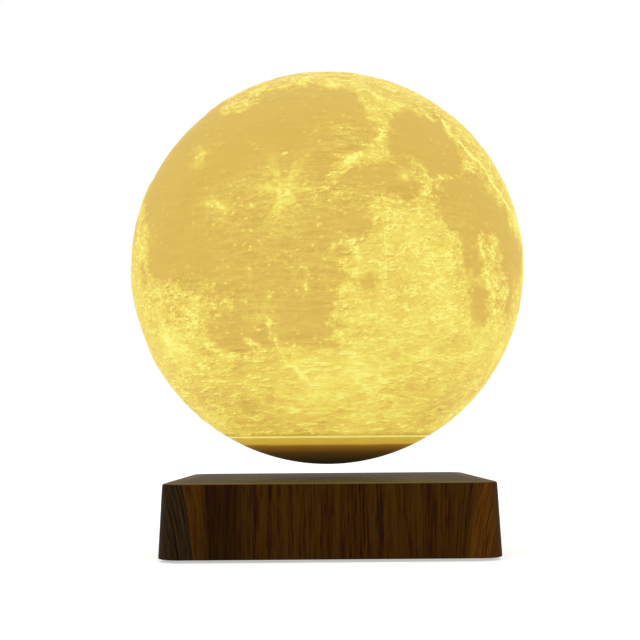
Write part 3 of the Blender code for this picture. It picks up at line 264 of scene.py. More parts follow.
# Where the print is crumbly, as (longitude, latitude, half-width, half-height, share)
WISP_SHARES = (
    (-20, 9.5, 12, 8, 0.75), (-38, 6, 6, 6, 0.60), (-10, 9, 8, 4, 0.60), (-24, -3, 11, 7, 0.50),
    (-15, -13, 8, 9, 0.45), (-6, -28, 9, 3, 0.50),
    (-3, 24, 7, 9, 0.75), (3, 8, 7, 4, 0.80), (-3, -5, 7, 4, 0.70), (9, 3, 5, 6, 0.30),
    (-54, -26, 13, 11, 0.80), (-50, -15, 8, 5, 0.80), (-30, -21, 8, 9, 0.60), (-38, -16, 6, 3, 0.60),
    (-30, -32, 14, 3, 0.60), (47, -13, 5, 8, 0.90), (40, -4, 4, 6, 0.80), (48, 27, 8, 14, 0.50),
    (-5, -19, 4, 11, 0.60), (26, -2, 5, 9, 0.60),
    (-42, 43, 6, 4, 0.60), (-10, 56, 40, 5, 0.50), (19, 12, 3, 5, 0.80), (38, 21, 3, 3, 0.80),
)

# Craters with rays as (longitude, latitude, core, apron, ray length, rays, light), in degrees
RAYED = (
    (-12, -45, 2.0, 8, 46, 13, 0.36), (-20, 9.5, 1.7, 4, 12, 15, 1.00),
    (-37.5, 6.5, 0.9, 3.5, 10, 17, 0.36), (-48, 24.5, 0.7, 1.6, 6, 7, 0.50),
    (-65.5, -25, 1.3, 5, 16, 13, 0.42), (20, 3, 0.8, 1.6, 4, 7, 0.55), (12, 14.5, 1.1, 2.0, 4, 5, 0.50),
    (57.5, -8.5, 0.9, 3, 8, 9, 0.25), (50.5, -31, 1.0, 4, 14, 9, 0.28), (45, 16, 0.8, 2.5, 7, 7, 0.40),
    (103, 36, 2.0, 7, 30, 13, 1.00), (-176, 6, 1.6, 7, 26, 15, 1.00), (-128, -4, 1.4, 6, 22, 11, 0.90),
    (142, -12, 1.2, 5, 20, 9, 0.90), (-112, 38, 1.4, 5, 18, 9, 0.80),
)

# Single bright spots as (longitude, latitude, radius, light)
SPOTS = (
    (-20, 21, 0.9, 0.7), (-29, 23.5, 0.6, 0.5), (-12, 27.5, 1.1, 0.4), (-30, 9.5, 0.7, 0.6),
    (-28, 6, 0.7, 0.6), (-18.5, 0, 0.9, 0.5), (-10.5, 1, 0.8, 0.5), (-28.5, -4.5, 0.8, 0.6),
    (-31, -3.5, 0.7, 0.5), (-40, -13, 0.8, 0.5), (-28.5, -25.5, 0.8, 0.6), (-24.5, -23.5, 1.1, 0.7),
    (-17.5, -26, 0.7, 0.5), (33.5, -13.5, 1.0, 0.6), (19, -13.5, 1.3, 0.5), (29, -18.5, 1.4, 0.5),
    (13, -19.5, 1.2, 0.4), (6, -20, 1.2, 0.5), (15, 5.5, 1.2, 0.4), (11, -10, 1.2, 0.4), (20, 3, 0.5, 1.0),
    (21, 0.5, 0.6, 0.6), (8.5, 29, 1.2, 0.4), (12.5, 35.5, 1.3, 0.5), (11.5, 15, 0.8, 0.8),
    (27, 16, 0.6, 0.8), (12, 21, 0.6, 0.7), (-53.5, -34, 2.0, 0.5), (-84, 12, 1.1, 0.5),
    (-72.5, -1, 1.1, 0.5),
)

# Ranges, ridges and long streaks as (width in degrees, light, points)
LINES = (
    (0.7, 0.6, ((-8.5, 15), *seen((345, 163)), (-0.5, 20), (4, 23), (7, 26.5), *seen((385, 130)))),
    (2.0, 0.25, ((-6, 16), (-1, 18.5), (3, 22), (6.5, 26), (9.5, 30), (12, 34))),
    (0.7, 0.5, ((9.5, 30.5), *seen((388, 120)), (12.5, 35.5), (15.5, 38.5))),
    (0.6, 0.6, (*seen((228, 112), (236, 106), (246, 104), (254, 99), (261, 91)), (-29, 50.5), (-21, 52.5))),
    (0.5, 0.5, (
        (-21, 52.5), (-15.5, 54.5), (-10, 52), *seen((335, 84), (355, 86)), (10, 44.5), (14.5, 42.5)
    )),
    (1.6, 0.3, (*seen((245, 98)), (-40, 55), (-23, 56.5), (-7, 56), (3.5, 53.5), (12, 47.5))),
    (0.5, 0.6, ((15.5, 40.5), (22.5, 40), (30, 37.5))),
    (0.35, 0.8, (*seen((411, 159), (416, 163), (421, 169), (427, 172), (432, 176)), (25, 16))),
    (0.9, 0.5, seen((425, 174), (430, 180), (428, 188), (424, 196), (420, 204))),
    (0.7, 0.5, seen((357, 190), (368, 189), (380, 188))),
    (0.8, 0.45, seen((360, 198), (372, 197), (384, 200))),
    (0.8, 0.45, seen((365, 208), (378, 205), (390, 210))),
    (0.8, 1.7, (
        (36, 40), *seen((447, 129), (452, 136), (460, 144), (468, 154), (480, 164), (491, 180), (500, 194))
    )),
    (0.8, 1.7, (*seen((500, 194)), (55, 12.5), *seen((517, 224)), (72, 6))),
    (1.0, 0.5, seen((452, 118), (468, 134), (484, 154), (500, 178), (510, 198))),
    (0.9, 0.5, seen((466, 160), (472, 168), (477, 176))),
    (1.0, 0.6, seen((481, 234), (479, 246), (482, 256), (484, 268), (488, 280))),
    (0.9, 0.5, seen((497, 240), (493, 252), (494, 264), (498, 276))),
    (0.8, 0.6, seen((490, 286), (494, 296), (493, 308), (496, 320))),
    (0.7, 0.6, seen((500, 288), (503, 300), (499, 312), (502, 324))),
    (0.8, 0.5, (*seen((500, 330)), (62, -30.5), (69, -38), (70, -45.5))),
    (0.7, 0.5, seen((470, 317), (455, 330), (440, 342), (425, 352), (412, 362))),
    (0.6, 0.85, seen((268, 326), (272, 338), (277, 349), (284, 358), (291, 366), (300, 376), (309, 386))),
    (0.7, 0.6, seen((206, 313), (210, 307), (217, 307), (219, 313), (215, 318))),
    (1.0, 0.6, seen((176, 290), (178, 302), (186, 310), (196, 320))),
    (0.8, 0.5, seen((205, 287), (211, 291), (214, 298), (224, 301), (229, 304), (232, 311))),
    (1.0, 0.6, seen((268, 294), (266, 302), (260, 308), (264, 316), (256, 322))),
    (0.7, 0.6, seen((247, 268), (249, 275), (248, 281))),
    (0.7, 0.55, seen((303, 268), (306, 279), (305, 289), (300, 297))),
    (0.8, 0.6, seen((250, 342), (256, 346), (262, 353))),
    (0.7, 0.5, seen((244, 318), (248, 325), (241, 331))),
    (1.0, 0.5, seen((205, 340), (213, 351), (224, 358), (238, 358))),
    (1.2, 0.4, seen((330, 247), (345, 243), (358, 250))),
    (0.6, 0.5, seen((238, 170), (250, 176), (262, 181), (272, 186))),
    (0.6, 0.5, seen((255, 165), (268, 172), (278, 180))),
    (0.5, 0.45, (*seen((290, 188), (305, 186)), (-6, 10))),
    (0.5, 0.45, (*seen((286, 196), (304, 196)), (-6, 7))),
    (0.5, 0.4, seen((205, 203), (220, 208), (252, 204))),
    (0.5, 0.5, seen((212, 196), (217, 204), (221, 214), (220, 224))),
    (0.8, 0.6, seen((150, 330), (160, 337), (172, 343), (186, 350))),
    (0.8, 0.5, seen((166, 322), (168, 340), (172, 356))),
    (0.7, 0.6, seen((148, 303), (147, 297), (153, 292), (160, 296), (163, 304))),
    (0.45, 0.9, seen((191, 159), (198, 155), (204, 153))),
    (0.4, 0.7, seen((192, 149), (199, 147), (204, 145))),
    (0.4, 0.45, seen((207, 147), (216, 143), (225, 141))),
)

# Large craters as (longitude, latitude, radius)
CRATERS = (
    (-12, -46.5, 1.7), (-41.5, -19.5, 2.1), (-39, -17, 1.2), (-14, -55, 3.6), (-7, -28.5, 2.6),
    (-3, -9.5, 2.6), (-3, -13, 2.0), (-4, -17.5, 1.7), (24, -10.5, 1.7), (22, -13.5, 1.7), (22, -41, 3.0),
    (12, -32.5, 2.2), (39, -29, 2.8), (58.5, -8.5, 2.2), (56.5, -24.5, 2.4), (50.5, -12, 1.2),
    (49, -15, 1.4), (54, -16, 1.5), (53.5, -21, 1.7), (55, -28.5, 1.6), (59, -42, 3.2), (39.5, -53, 3.0),
    (28, 31, 1.7), (40.5, 47.5, 2.0), (57, 40, 2.6), (50, 62, 2.0), (5, 64, 2.4), (-9.5, 50.5, 1.8),
    (-37, 61, 2.0), (-59.5, -17.5, 2.2), (-62.5, -37, 2.8), (-41.5, -48, 4.4), (-35, -57, 2.8),
    (-61.5, -49.5, 2.6), (-2, -71, 3.0), (-21, -28.5, 2.2), (-21.5, -32.5, 2.0), (2.5, -24, 2.2),
    (7.5, -28.5, 2.0), (-2, -40, 2.6), (4.5, -45.5, 2.6), (14.5, -48, 2.8), (29.5, -39.5, 2.4),
    (-31.5, -46, 2.2), (-27, -40, 2.0), (-53, -41.5, 2.2), (104, 30, 4.0), (108, -18, 4.2), (122, 5, 3.6),
    (133, -42, 5.0), (150, -5, 3.4), (168, 12, 4.6), (178, 48, 4.4), (-166, 22, 2.8), (-150, 10, 3.2),
    (-145, -12, 2.4), (158, 44, 3.0), (170, -14, 3.0), (-176, -24, 2.6), (145, 8, 2.4), (116, 24, 2.6),
    (-133, 24, 2.8), (-120, -20, 3.0), (-140, 58, 3.2), (140, -58, 3.0), (-178, 34, 2.2), (153, -20, 2.0),
    (-172, -14, 4.2), (-158, 33, 4.6), (-137, 6, 3.8), (-124, 42, 4.4), (-115, -40, 4.4), (-104, 18, 4.6),
    (88, -50, 4.2), (35, 78, 2.6), (-120, 68, 4.2),
)


# Numbers over many points


def smooth_step(low, high, value):
    share = np.clip((value - low) / (high - low), 0, 1)
    return share * share * (3 - 2 * share)


def value_noise(points, seed):
    """Smooth noise from -1 to 1 over a lattice of seeded numbers."""
    lattice = np.random.default_rng(seed).random((NOISE_CELLS,) * 3)
    low = np.floor(points).astype(int)
    part = points - low
    ease = part * part * (3 - 2 * part)
    total = np.zeros(len(points))
    for corner in itertools.product((0, 1), repeat=3):
        at = (low + corner) % NOISE_CELLS
        weight = np.prod(np.where(corner, ease, 1 - ease), axis=1)
        total += weight * lattice[at[:, 0], at[:, 1], at[:, 2]]
    return 2 * total - 1


def octave_sum(points, scale, seed, octaves, gain, shape=lambda noise: noise):
    """Noise of several octaves, each finer and weaker than the last, and the sum of their strengths."""
    total, strength, reach = np.zeros(len(points)), 1.0, 0.0
    for octave in range(octaves):
        total += strength * shape(value_noise(points * scale * 2**octave, seed + octave))
        reach += strength
        strength *= gain
    return total, reach


def cloud(points, scale, seed, octaves=5, gain=0.55):
    """Noise of several octaves, from about -1 to 1."""
    total, reach = octave_sum(points, scale, seed, octaves, gain)
    return NOISE_SWING * total / reach


def ridges(points, scale, seed, octaves):
    """Noise that peaks along thin lines, from 0 to 1."""

    def peaked(noise):
        return (1 - np.abs(noise)) ** 3

    total, reach = octave_sum(points, scale, seed, octaves, RIDGE_GAIN, peaked)
    return total / reach


def bell(value):
    """1 at 0 and fading to 0 on both sides."""
    return np.exp(-(value**2))


def front_direction(longitude, latitude):
    """The direction of a place on the map, whose middle faces -Y."""
    lon, lat = math.radians(longitude), math.radians(latitude)
    return np.array([math.sin(lon) * math.cos(lat), -math.cos(lon) * math.cos(lat), math.sin(lat)])


def local_frame(longitude, latitude):
    """East, north and outward directions at a place on the map."""
    out = front_direction(longitude, latitude)
    lon = math.radians(longitude)
    east = np.array([math.cos(lon), math.sin(lon), 0.0])
    return east, np.cross(out, east), out


def offsets(directions, longitude, latitude):
    """How far each direction lies east and north of a place, in degrees."""
    east, north, out = local_frame(longitude, latitude)
    x, y, z = directions @ east, directions @ north, directions @ out
    away = np.degrees(np.arccos(np.clip(z, -1, 1)))
    flat = np.maximum(np.hypot(x, y), 1e-9)
    return away * x / flat, away * y / flat


def near_line(points, start, end):
    """Distance from each point to the straight stretch between two others."""
    along = end - start
    share = np.clip((points - start) @ along / (along @ along), 0, 1)
    return np.linalg.norm(points - start - share[:, None] * along, axis=1)


def distance_to_line(directions, places):
    """Degrees from each direction to the nearest stretch between neighbouring places."""
    corners = [front_direction(*place) for place in places]
    gaps = [near_line(directions, start, end) for start, end in zip(corners, corners[1:])]
    return np.degrees(np.min(gaps, axis=0))


# The Moon's map


def on_chart(longitude, latitude):
    """A flat chart in degrees, on which each level line is as long as it is on the sphere."""
    return np.stack([longitude * np.cos(np.radians(latitude)), latitude], axis=-1)


def depth_inside(places, shore):
    """How far each place on the chart lies inside a closed shore, in degrees, and below 0 outside it."""
    corners = on_chart(*np.array(shore, dtype=float).T)
    nearest = np.full(len(places), 180.0)
    inside = np.zeros(len(places), dtype=bool)
    for start, end in zip(corners, np.roll(corners, -1, axis=0)):
        nearest = np.minimum(nearest, near_line(places, start, end))
        crosses = (start[1] > places[:, 1]) != (end[1] > places[:, 1])
        rise = (end[1] - start[1]) or 1.0
        at = start[0] + (places[:, 1] - start[1]) / rise * (end[0] - start[0])
        inside ^= crosses & (places[:, 0] < at)
    return np.where(inside, nearest, -nearest)


def frayed(on_map):
    """Directions nudged by noise, so that what follows them has ragged edges."""
    fray = np.stack([cloud(on_map, 15, 200 + 10 * k, 4) for k in range(3)], axis=1)
    nudged = on_map + math.radians(SHORE_FRAY) * fray
    return nudged / np.linalg.norm(nudged, axis=1)[:, None]


def sea_depths(ragged):
    """How far each direction lies inside a sea: from 0, well outside, over 0.5 at the shore, to 1."""
    longitude = np.degrees(np.arctan2(ragged[:, 0], -ragged[:, 1]))
    latitude = np.degrees(np.arcsin(np.clip(ragged[:, 2], -1, 1)))
    places = on_chart(longitude, latitude)
    depth = np.max([depth_inside(places, shore) for shore in SEAS], axis=0)
    for lon, lat, half_width, half_height in FAR_SEAS:
        x, y = offsets(ragged, lon, lat)
        depth = np.maximum(depth, (1 - np.hypot(x / half_width, y / half_height)) * half_height)
    return np.clip(depth / SHORE_REACH, -1, 1) / 2 + 0.5


def in_regions(directions, regions):
    """The sum of soft-edged regions, each with its own amount in the middle."""
    total = np.zeros(len(directions))
    for longitude, latitude, half_width, half_height, amount in regions:
        x, y = offsets(directions, longitude, latitude)
        total += amount * np.exp(-((x / half_width) ** 2) - (y / half_height) ** 2)
    return total


def ray_light(on_map):
    """Bright cores, aprons and rays round the young craters."""
    light = np.zeros(len(on_map))
    breaks = 0.5 + 0.5 * cloud(on_map, 22, 300, 4)
    for number, (longitude, latitude, core, apron, reach, rays, strength) in enumerate(RAYED):
        x, y = offsets(on_map, longitude, latitude)
        away = np.hypot(x, y)
        turn = np.arctan2(y, x)
        around = np.stack([np.cos(turn), np.sin(turn), np.full(len(turn), number + 0.5)], axis=1)
        streak = np.clip(value_noise(around * rays / 5, 320 + number) * 1.6, 0, 1) ** 2
        fade = np.exp(-((away / reach) ** 2) * RAY_FADE) * (1 - bell(away / core))
        near = bell(away / core) + APRON_SHARE * bell(away / apron) * (0.5 + breaks)
        light += strength * (near + RAY_SHARE * streak * fade * (0.35 + breaks))
    return light


def spot_light(on_map):
    """Single bright spots, half as wide again as they are high."""
    return in_regions(on_map, [(lon, lat, 1.5 * radius, radius, light) for lon, lat, radius, light in SPOTS])


def line_light(ragged):
    """Ranges and streaks, broken up along their length."""
    light = np.zeros(len(ragged))
    breaks = 0.55 + 0.75 * cloud(ragged, 30, 400, 3)
    for width, strength, places in LINES:
        away = distance_to_line(ragged, places)
        light += strength * bell(away / width) * np.clip(breaks, 0.15, 1.3)
    return light


def crater_list(sea_at):
    """The large craters and the seeded small ones, as rows of longitude, latitude, radius, light and rise."""
    dice = np.random.default_rng(SMALL_SEED)
    found = []
    for longitude, latitude, radius in CRATERS:
        light = FAR_CRATER_LIGHT if abs(longitude) > FAR_LONGITUDE else NEAR_CRATER_LIGHT
        found.append((longitude, latitude, radius, light, 1.0))
    least, most = SMALL_RADII
    while len(found) < len(CRATERS) + SMALL_CRATERS:
        longitude = dice.uniform(-180, 180)
        latitude = math.degrees(math.asin(dice.uniform(-1, 1)))
        radius = least * (most / least) ** (dice.random() ** 2.2)
        keep, strength = dice.random(), dice.uniform(0.5, 1.0)
        wet = sea_at(longitude, latitude)
        if keep < 1 - (1 - SEA_CRATER_SHARE) * wet:
            light = SMALL_CRATER_LIGHT * strength
            found.append((longitude, latitude, radius * (1 - 0.4 * wet), light, strength))
    return found


def stamp_craters(on_map, rings_of, craters):
    """Adds each crater's light and height to the points near it. Returns both fields."""
    light, height = np.zeros(len(on_map)), np.zeros(len(on_map))
    dice = np.random.default_rng(SMALL_SEED + 1)
    for longitude, latitude, radius, glow, rise in craters:
        east, north, out = local_frame(longitude, latitude)
        slope = dice.uniform(0, 2 * math.pi)
        gleam = dice.uniform(0.5, 1.2)
        near = rings_of(out, CRATER_REACH_SHARE * radius)
        close = on_map[near]
        away = np.degrees(np.arccos(np.clip(close @ out, -1, 1))) / radius
        inside = away < CRATER_REACH_SHARE
        near, away, close = near[inside], away[inside], close[inside]
        side = np.arctan2(close @ north, close @ east)
        lean = 0.6 + 0.4 * np.cos(side - slope)
        rim = bell((away - 1) / RIM_WIDTH_SHARE)
        bowl = smooth_step(*BOWL_SHARES, away)
        light[near] += glow * gleam * (RIM_LIGHT * rim * lean - BOWL_SHADE * bowl)
        height[near] += rise * min(radius / 2, DEEPEST_CRATER) * (RIM_RISE_SHARE * rim - bowl)
    return light, height


# Mesh of the sphere


def column_angles():
    """Angles round the sphere from -X over the front to +X and back, close together in front."""
    front = np.linspace(-math.pi, 0, FRONT_COLUMNS, endpoint=False)
    back = np.linspace(0, math.pi, BACK_COLUMNS, endpoint=False)
    return np.concatenate([front, back])


def grid_faces(rows, columns):
    """Quads between the rows of a ring grid whose columns close round."""
    faces = []
    for row in range(rows - 1):
        for column in range(columns):
            a, b = row * columns + column, row * columns + (column + 1) % columns
            faces.append((a, a + columns, b + columns, b))
    return faces


def add_object(name, data):
    """A new object in the scene."""
    made = bpy.data.objects.new(name, data)
    bpy.context.scene.collection.objects.link(made)
    return made


def mesh_object(name, verts, faces):
    mesh = bpy.data.meshes.new(name)
    mesh.from_pydata([tuple(v) for v in verts], [], faces)
    return add_object(name, mesh)


def mesh_piece(name, verts, faces, material, body, slot, *replaced):
    """A smooth mesh that rides on a body and stands for the nodes it replaces."""
    piece = mesh_object(name, verts, faces)
    piece.data.validate()
    piece.data.shade_smooth()
    piece.data.materials.append(material)
    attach(piece, body)
    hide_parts(*replaced)
    return piece


def sphere_grid():
    """Unit directions of the outer surface, ring by ring, and each ring's angle from the top."""
    seam_angle = math.acos((SEAM_Z - MOON_CENTRE.z) / MOON_RADIUS)
    downs = np.linspace(0, seam_angle, RING_COUNT + 1)[1:]
    down, turn = np.meshgrid(downs, column_angles(), indexing="ij")
    points = np.stack([np.sin(down) * np.cos(turn), np.sin(down) * np.sin(turn), np.cos(down)], axis=2)
    return points.reshape(-1, 3), downs


def moon_fields(directions, downs):
    """The print's fields by name, and the relief's height, at each direction."""
    onto_map = map_turn()
    on_map = directions @ onto_map
    ragged = frayed(on_map)
    depth = sea_depths(ragged)
    sea = smooth_step(*SHORE_SLOPE, depth)

    def rings_of(out, reach):
        """Indices of the points in the rings within reach of a direction on the map."""
        down = math.acos(float(np.clip((onto_map @ out)[2], -1, 1)))
        spread = math.radians(reach)
        first, last = np.searchsorted(downs, [down - spread, down + spread])
        return np.arange(first * COLUMNS, last * COLUMNS)

    def sea_at(longitude, latitude):
        """How much of a sea there is at the point nearest a place, from 0 to 1."""
        out = front_direction(longitude, latitude)
        near = rings_of(out, 1.2)
        if not len(near):
            return 0.0
        return float(sea[near[np.argmax(on_map[near] @ out)]])

    dry = 1 - sea
    crater_glow, crater_rise = stamp_craters(on_map, rings_of, crater_list(sea_at))
    mottle = cloud(ragged, 9, 500, 5, 0.6)
    crests = ridges(ragged, 11, 520, 5)
    light = (in_regions(ragged, REGIONS) + crater_glow) * (0.4 + 0.6 * dry)
    light += dry * (MOTTLE_LIGHT * mottle + CREST_LIGHT * (crests - MIDDLE_CREST))
    drawn = line_light(ragged)
    light += RANGE_LIGHT * drawn
    shine = 1 - np.exp(-SHINE_GAIN * ray_light(on_map))
    marks = 1 - np.exp(-MARK_GAIN * (drawn + spot_light(on_map)))
    wisps = np.clip(in_regions(ragged, WISP_SHARES), 0, 1)

    height = -SEA_DROP * sea + ROUGH_RISE * dry * (0.5 * mottle + crests - 0.4)
    height += CRATER_RISE * crater_rise * (0.45 + 0.55 * dry)
    fields = {"sea_depth": depth, "print_light": light, "shine": shine, "marks": marks, "wisps": wisps}
    return fields, np.clip(height, -RELIEF_LIMIT, RELIEF_LIMIT)


def moon_surface(material):
    """The printed shell: a relief outside, a plain wall inside, and a level rim at the seam."""
    directions, downs = sphere_grid()
    fields, height = moon_fields(directions, downs)
    centre = np.array(MOON_CENTRE)
    above_seam = directions[:, 2] * MOON_RADIUS + MOON_CENTRE.z - SEAM_Z
    calm = smooth_step(0, SEAM_CALM, above_seam)
    outer = directions * (MOON_RADIUS + calm * height)[:, None] + centre

    inner_radius = MOON_RADIUS - SHELL_WALL
    inner_seam = math.acos((SEAM_Z - MOON_CENTRE.z) / inner_radius)
    around = column_angles()
    inner = []
    for down in np.linspace(inner_seam, 0, INNER_RINGS + 1)[:-1]:
        ring = np.stack([np.sin(down) * np.cos(around), np.sin(down) * np.sin(around)], axis=1)
        level = np.full((COLUMNS, 1), math.cos(down))
        inner.append(np.hstack([ring, level]) * inner_radius + centre)
    inner = np.concatenate(inner)

    top, ceiling = len(outer) + len(inner), len(outer) + len(inner) + 1
    verts = np.vstack([outer, inner, centre + (0, 0, MOON_RADIUS), centre + (0, 0, inner_radius)])
    faces = grid_faces(RING_COUNT + INNER_RINGS, COLUMNS)
    last = (RING_COUNT + INNER_RINGS - 1) * COLUMNS
    for column in range(COLUMNS):
        after = (column + 1) % COLUMNS
        faces.append((column, after, top))
        faces.append((last + after, last + column, ceiling))
    piece = mesh_piece("moon_surface", verts, faces, material, "moon", "moon_print", "moon_shell")

    spare = len(verts) - len(outer)
    for name, values in fields.items():
        layer = piece.data.attributes.new(name, "FLOAT", "POINT")
        filled = np.concatenate([values, np.full(spare, float(np.mean(values[:COLUMNS])))])
        layer.data.foreach_set("value", filled.astype(np.float32))
    return piece


# Node materials


class Nodes:
    """Short calls for the nodes of one tree."""

    def __init__(self, tree):
        self.tree = tree

    def add(self, kind, inputs=(), **settings):
        made = self.tree.nodes.new(kind)
        for name, value in settings.items():
            setattr(made, name, value)
        for name, value in dict(inputs).items():
            self.put(value, made.inputs[name])
        return made

    def put(self, value, socket):
        if isinstance(value, bpy.types.NodeSocket):
            self.tree.links.new(value, socket)
        else:
            socket.default_value = value

    def math(self, operation, a, b=0.0, clamp=False):
        return self.add("ShaderNodeMath", {0: a, 1: b}, operation=operation, use_clamp=clamp).outputs[0]

    def spread(self, value, low, high, out_low=0.0, out_high=1.0):
        """A value taken from one range to another, held at the ends."""
        inputs = {"Value": value, "From Min": low, "From Max": high, "To Min": out_low, "To Max": out_high}
        return self.add("ShaderNodeMapRange", inputs).outputs["Result"]

    def seen_white(self):
        """A factor that is 1 for camera, glossy and transmission rays."""
        path = self.add("ShaderNodeLightPath").outputs
        total = path["Is Camera Ray"]
        for name in ("Is Glossy Ray", "Is Transmission Ray"):
            total = self.math("MAXIMUM", total, path[name])
        return total


class Finish(Nodes):
    """A Principled material whose colour, roughness and bump come from procedural nodes."""

    def __init__(self, name, roughness=0.5, metallic=0.0, specular=0.5, coat=0.0):
        self.material = bpy.data.materials.new(name)
        self.material.use_nodes = True
        super().__init__(self.material.node_tree)
        self.shader = self.tree.nodes["Principled BSDF"]
        self.shader.inputs["Roughness"].default_value = roughness
        self.shader.inputs["Metallic"].default_value = metallic
        self.shader.inputs["Specular IOR Level"].default_value = specular
        self.shader.inputs["Coat Weight"].default_value = coat
        self.place = self.add("ShaderNodeTexCoord").outputs["Object"]

    def stretched(self, stretch=(1, 1, 1), place=None):
        inputs = {"Vector": place or self.place, "Scale": stretch}
        return self.add("ShaderNodeMapping", inputs).outputs["Vector"]

    def noise(self, scale, detail=4, roughness=0.55, stretch=(1, 1, 1), distortion=0.0, place=None):
        inputs = {
            "Vector": self.stretched(stretch, place),
            "Scale": scale,
            "Detail": detail,
            "Roughness": roughness,
            "Distortion": distortion,
        }
        return self.add("ShaderNodeTexNoise", inputs).outputs["Fac"]

    def cells(self, scale, feature="F1", stretch=(1, 1, 1)):
        inputs = {"Vector": self.stretched(stretch), "Scale": scale}
        return self.add("ShaderNodeTexVoronoi", inputs, feature=feature)

    def attribute(self, name):
        return self.add("ShaderNodeAttribute", attribute_name=name).outputs["Fac"]

    def total(self, first, *others):
        for other in others:
            first = self.math("ADD", first, other)
        return first

    def times(self, first, *others):
        for other in others:
            first = self.math("MULTIPLY", first, other)
        return first

    def between(self, share, ends):
        """A value that goes from one end to the other as the share goes from 0 to 1, held at the ends."""
        return self.spread(share, 0, 1, *ends)

    def swing(self, value, reach):
        """A noise value as a swing either side of 0."""
        return self.times(self.math("SUBTRACT", value, 0.5), reach)

    def blend(self, share, a, b):
        """A value that goes from one to the other as the share goes from 0 to 1."""
        return self.math("ADD", a, self.times(self.math("SUBTRACT", b, a), share))

    def threads(self, scale, stretch, width):
        """Thin bright threads, broken up along their length."""
        middle = self.math("ABSOLUTE", self.swing(self.noise(scale, 4, 0.64, stretch), 1.0))
        breaks = self.spread(self.noise(scale * 0.7, 2, 0.5, stretch), 0.46, 0.60)
        return self.times(self.spread(middle, width, 0.0), breaks)

    def crumbs(self, scale, stretch):
        """Crisp bright crumbs of the print, each with a painted shadow on one side that gives the look of lit
        relief.
        """
        # The same noise, shifted a little, paints each crumb's shadow on one side
        shift = {0: self.place, 1: SHADOW_SHIFT}
        shifted = self.add("ShaderNodeVectorMath", shift, operation="ADD").outputs[0]
        noises = (self.noise(scale, 4, 0.62, stretch, place=place) for place in (self.place, shifted))
        here, there = (self.spread(noise, *CRUMB_EDGE) for noise in noises)
        return self.math("SUBTRACT", self.times(here, CRUMB_LIGHT), self.times(there, CRUMB_SHADE))

    def ramp(self, factor, stops):
        made = self.add("ShaderNodeValToRGB", {"Fac": factor})
        marks = made.color_ramp.elements
        while len(marks) < len(stops):
            marks.new(0.5)
        for mark, (position, colour) in zip(marks, stops):
            mark.position = position
            mark.color = (*colour, 1.0)
        return made.outputs["Color"]

    def two_tones(self, factor, dark, pale, start=0.3):
        """A ramp over the middle of a noise, from one colour to another."""
        return self.ramp(factor, ((start, dark), (1 - start, pale)))

    def mix(self, factor, a, b, blend="MIX"):
        made = self.add("ShaderNodeMix", data_type="RGBA", blend_type=blend)
        self.put(factor, made.inputs["Factor"])
        for socket, value in ((made.inputs[6], a), (made.inputs[7], b)):
            self.put(value if isinstance(value, bpy.types.NodeSocket) else (*value, 1.0), socket)
        return made.outputs[2]

    def axis(self, name, vector=None):
        return self.add("ShaderNodeSeparateXYZ", {"Vector": vector or self.place}).outputs[name]

    def colour(self, value):
        self.put(value, self.shader.inputs["Base Color"])

    def rough(self, value, low, high):
        self.put(self.spread(value, 0.3, 0.7, low, high), self.shader.inputs["Roughness"])

    def glow(self, value, strength=1.0):
        self.put(value, self.shader.inputs["Emission Color"])
        self.shader.inputs["Emission Strength"].default_value = strength

    def bump(self, height, strength, distance):
        made = self.add("ShaderNodeBump", {"Height": height, "Strength": strength, "Distance": distance})
        self.put(made.outputs["Normal"], self.shader.inputs["Normal"])


# Crumbs of light: the noise's values at their edge, their light, and their shadow with its shift in metres
CRUMB_EDGE = (0.55, 0.62)
CRUMB_LIGHT = 1.4
CRUMB_SHADE = 0.8
SHADOW_SHIFT = (-0.0005, 0.0, 0.0005)

# Print colours as light given off, from the dullest to the brightest, and the print's own pale colour
PRINT_STOPS = (
    (0.00, (0.560, 0.367, 0.056)),
    (0.25, (0.663, 0.447, 0.082)),
    (0.50, (0.754, 0.566, 0.095)),
    (0.75, (0.820, 0.696, 0.117)),
    (1.00, (0.871, 0.827, 0.202)),
)
PRINT_BASE_STOPS = (
    (0.0, (0.050, 0.035, 0.014)),
    (1.0, (0.120, 0.095, 0.040)),
)
SEA_LIGHT = 0.24
HIGHLAND_LIGHT = 0.52
SHORE_WIDTH = 0.12
# The dull band over the seam: its height in metres and its light
SEAM_BAND = 0.0016
SEAM_LIGHT = -0.42
# The print is drawn out upwards below the middle of the sphere, between these depths under it
ROUND_PRINT_DEPTH = 0.020
DRAWN_PRINT_DEPTH = 0.055
# Noises of the print, as scale, detail, roughness and stretch
PRINT_NOISES = {
    "fray": (300, 6, 0.74, (1, 1, 1.5)),
    "patches": (105, 4, 0.62, (1, 1, 1.5)),
    "mottle": (430, 5, 0.70, (1, 1, 1.5)),
    "grit": (1300, 3, 0.65, (1, 1, 1.3)),
    "broad": (60, 4, 0.62, (1, 1, 1)),
    "drawn": (130, 5, 0.72, (1, 1, 4.5)),
    "hair": (70, 4, 0.66, (1, 1, 8)),
}
# Threads and crumbs in the upper and the lower half, as scale, stretch and, for threads, width
THREADS = ((230, (1, 1, 1.6), 0.050), (125, (1, 1, 4.0), 0.050))
CRUMBS = ((260, (1, 1, 1.7)), (160, (1, 1, 3.4)))
SPECK_CELLS = 190
SPECK_EDGE = (0.19, 0.12)
# How far the noises fray the shore, and how much the sea's depth falls where the print is crumbly
FRAY_SWING = 0.95
PATCH_SWING = 1.7
WISP_DEPTH = -0.20
# How far each noise swings the light
MOTTLE_SWING = 0.75
DRAWN_SWING = 0.90
GRIT_SWING = 0.40
BROAD_SWING = 0.60
HAIR_SWING = 0.22
MARK_SWING = 2.4
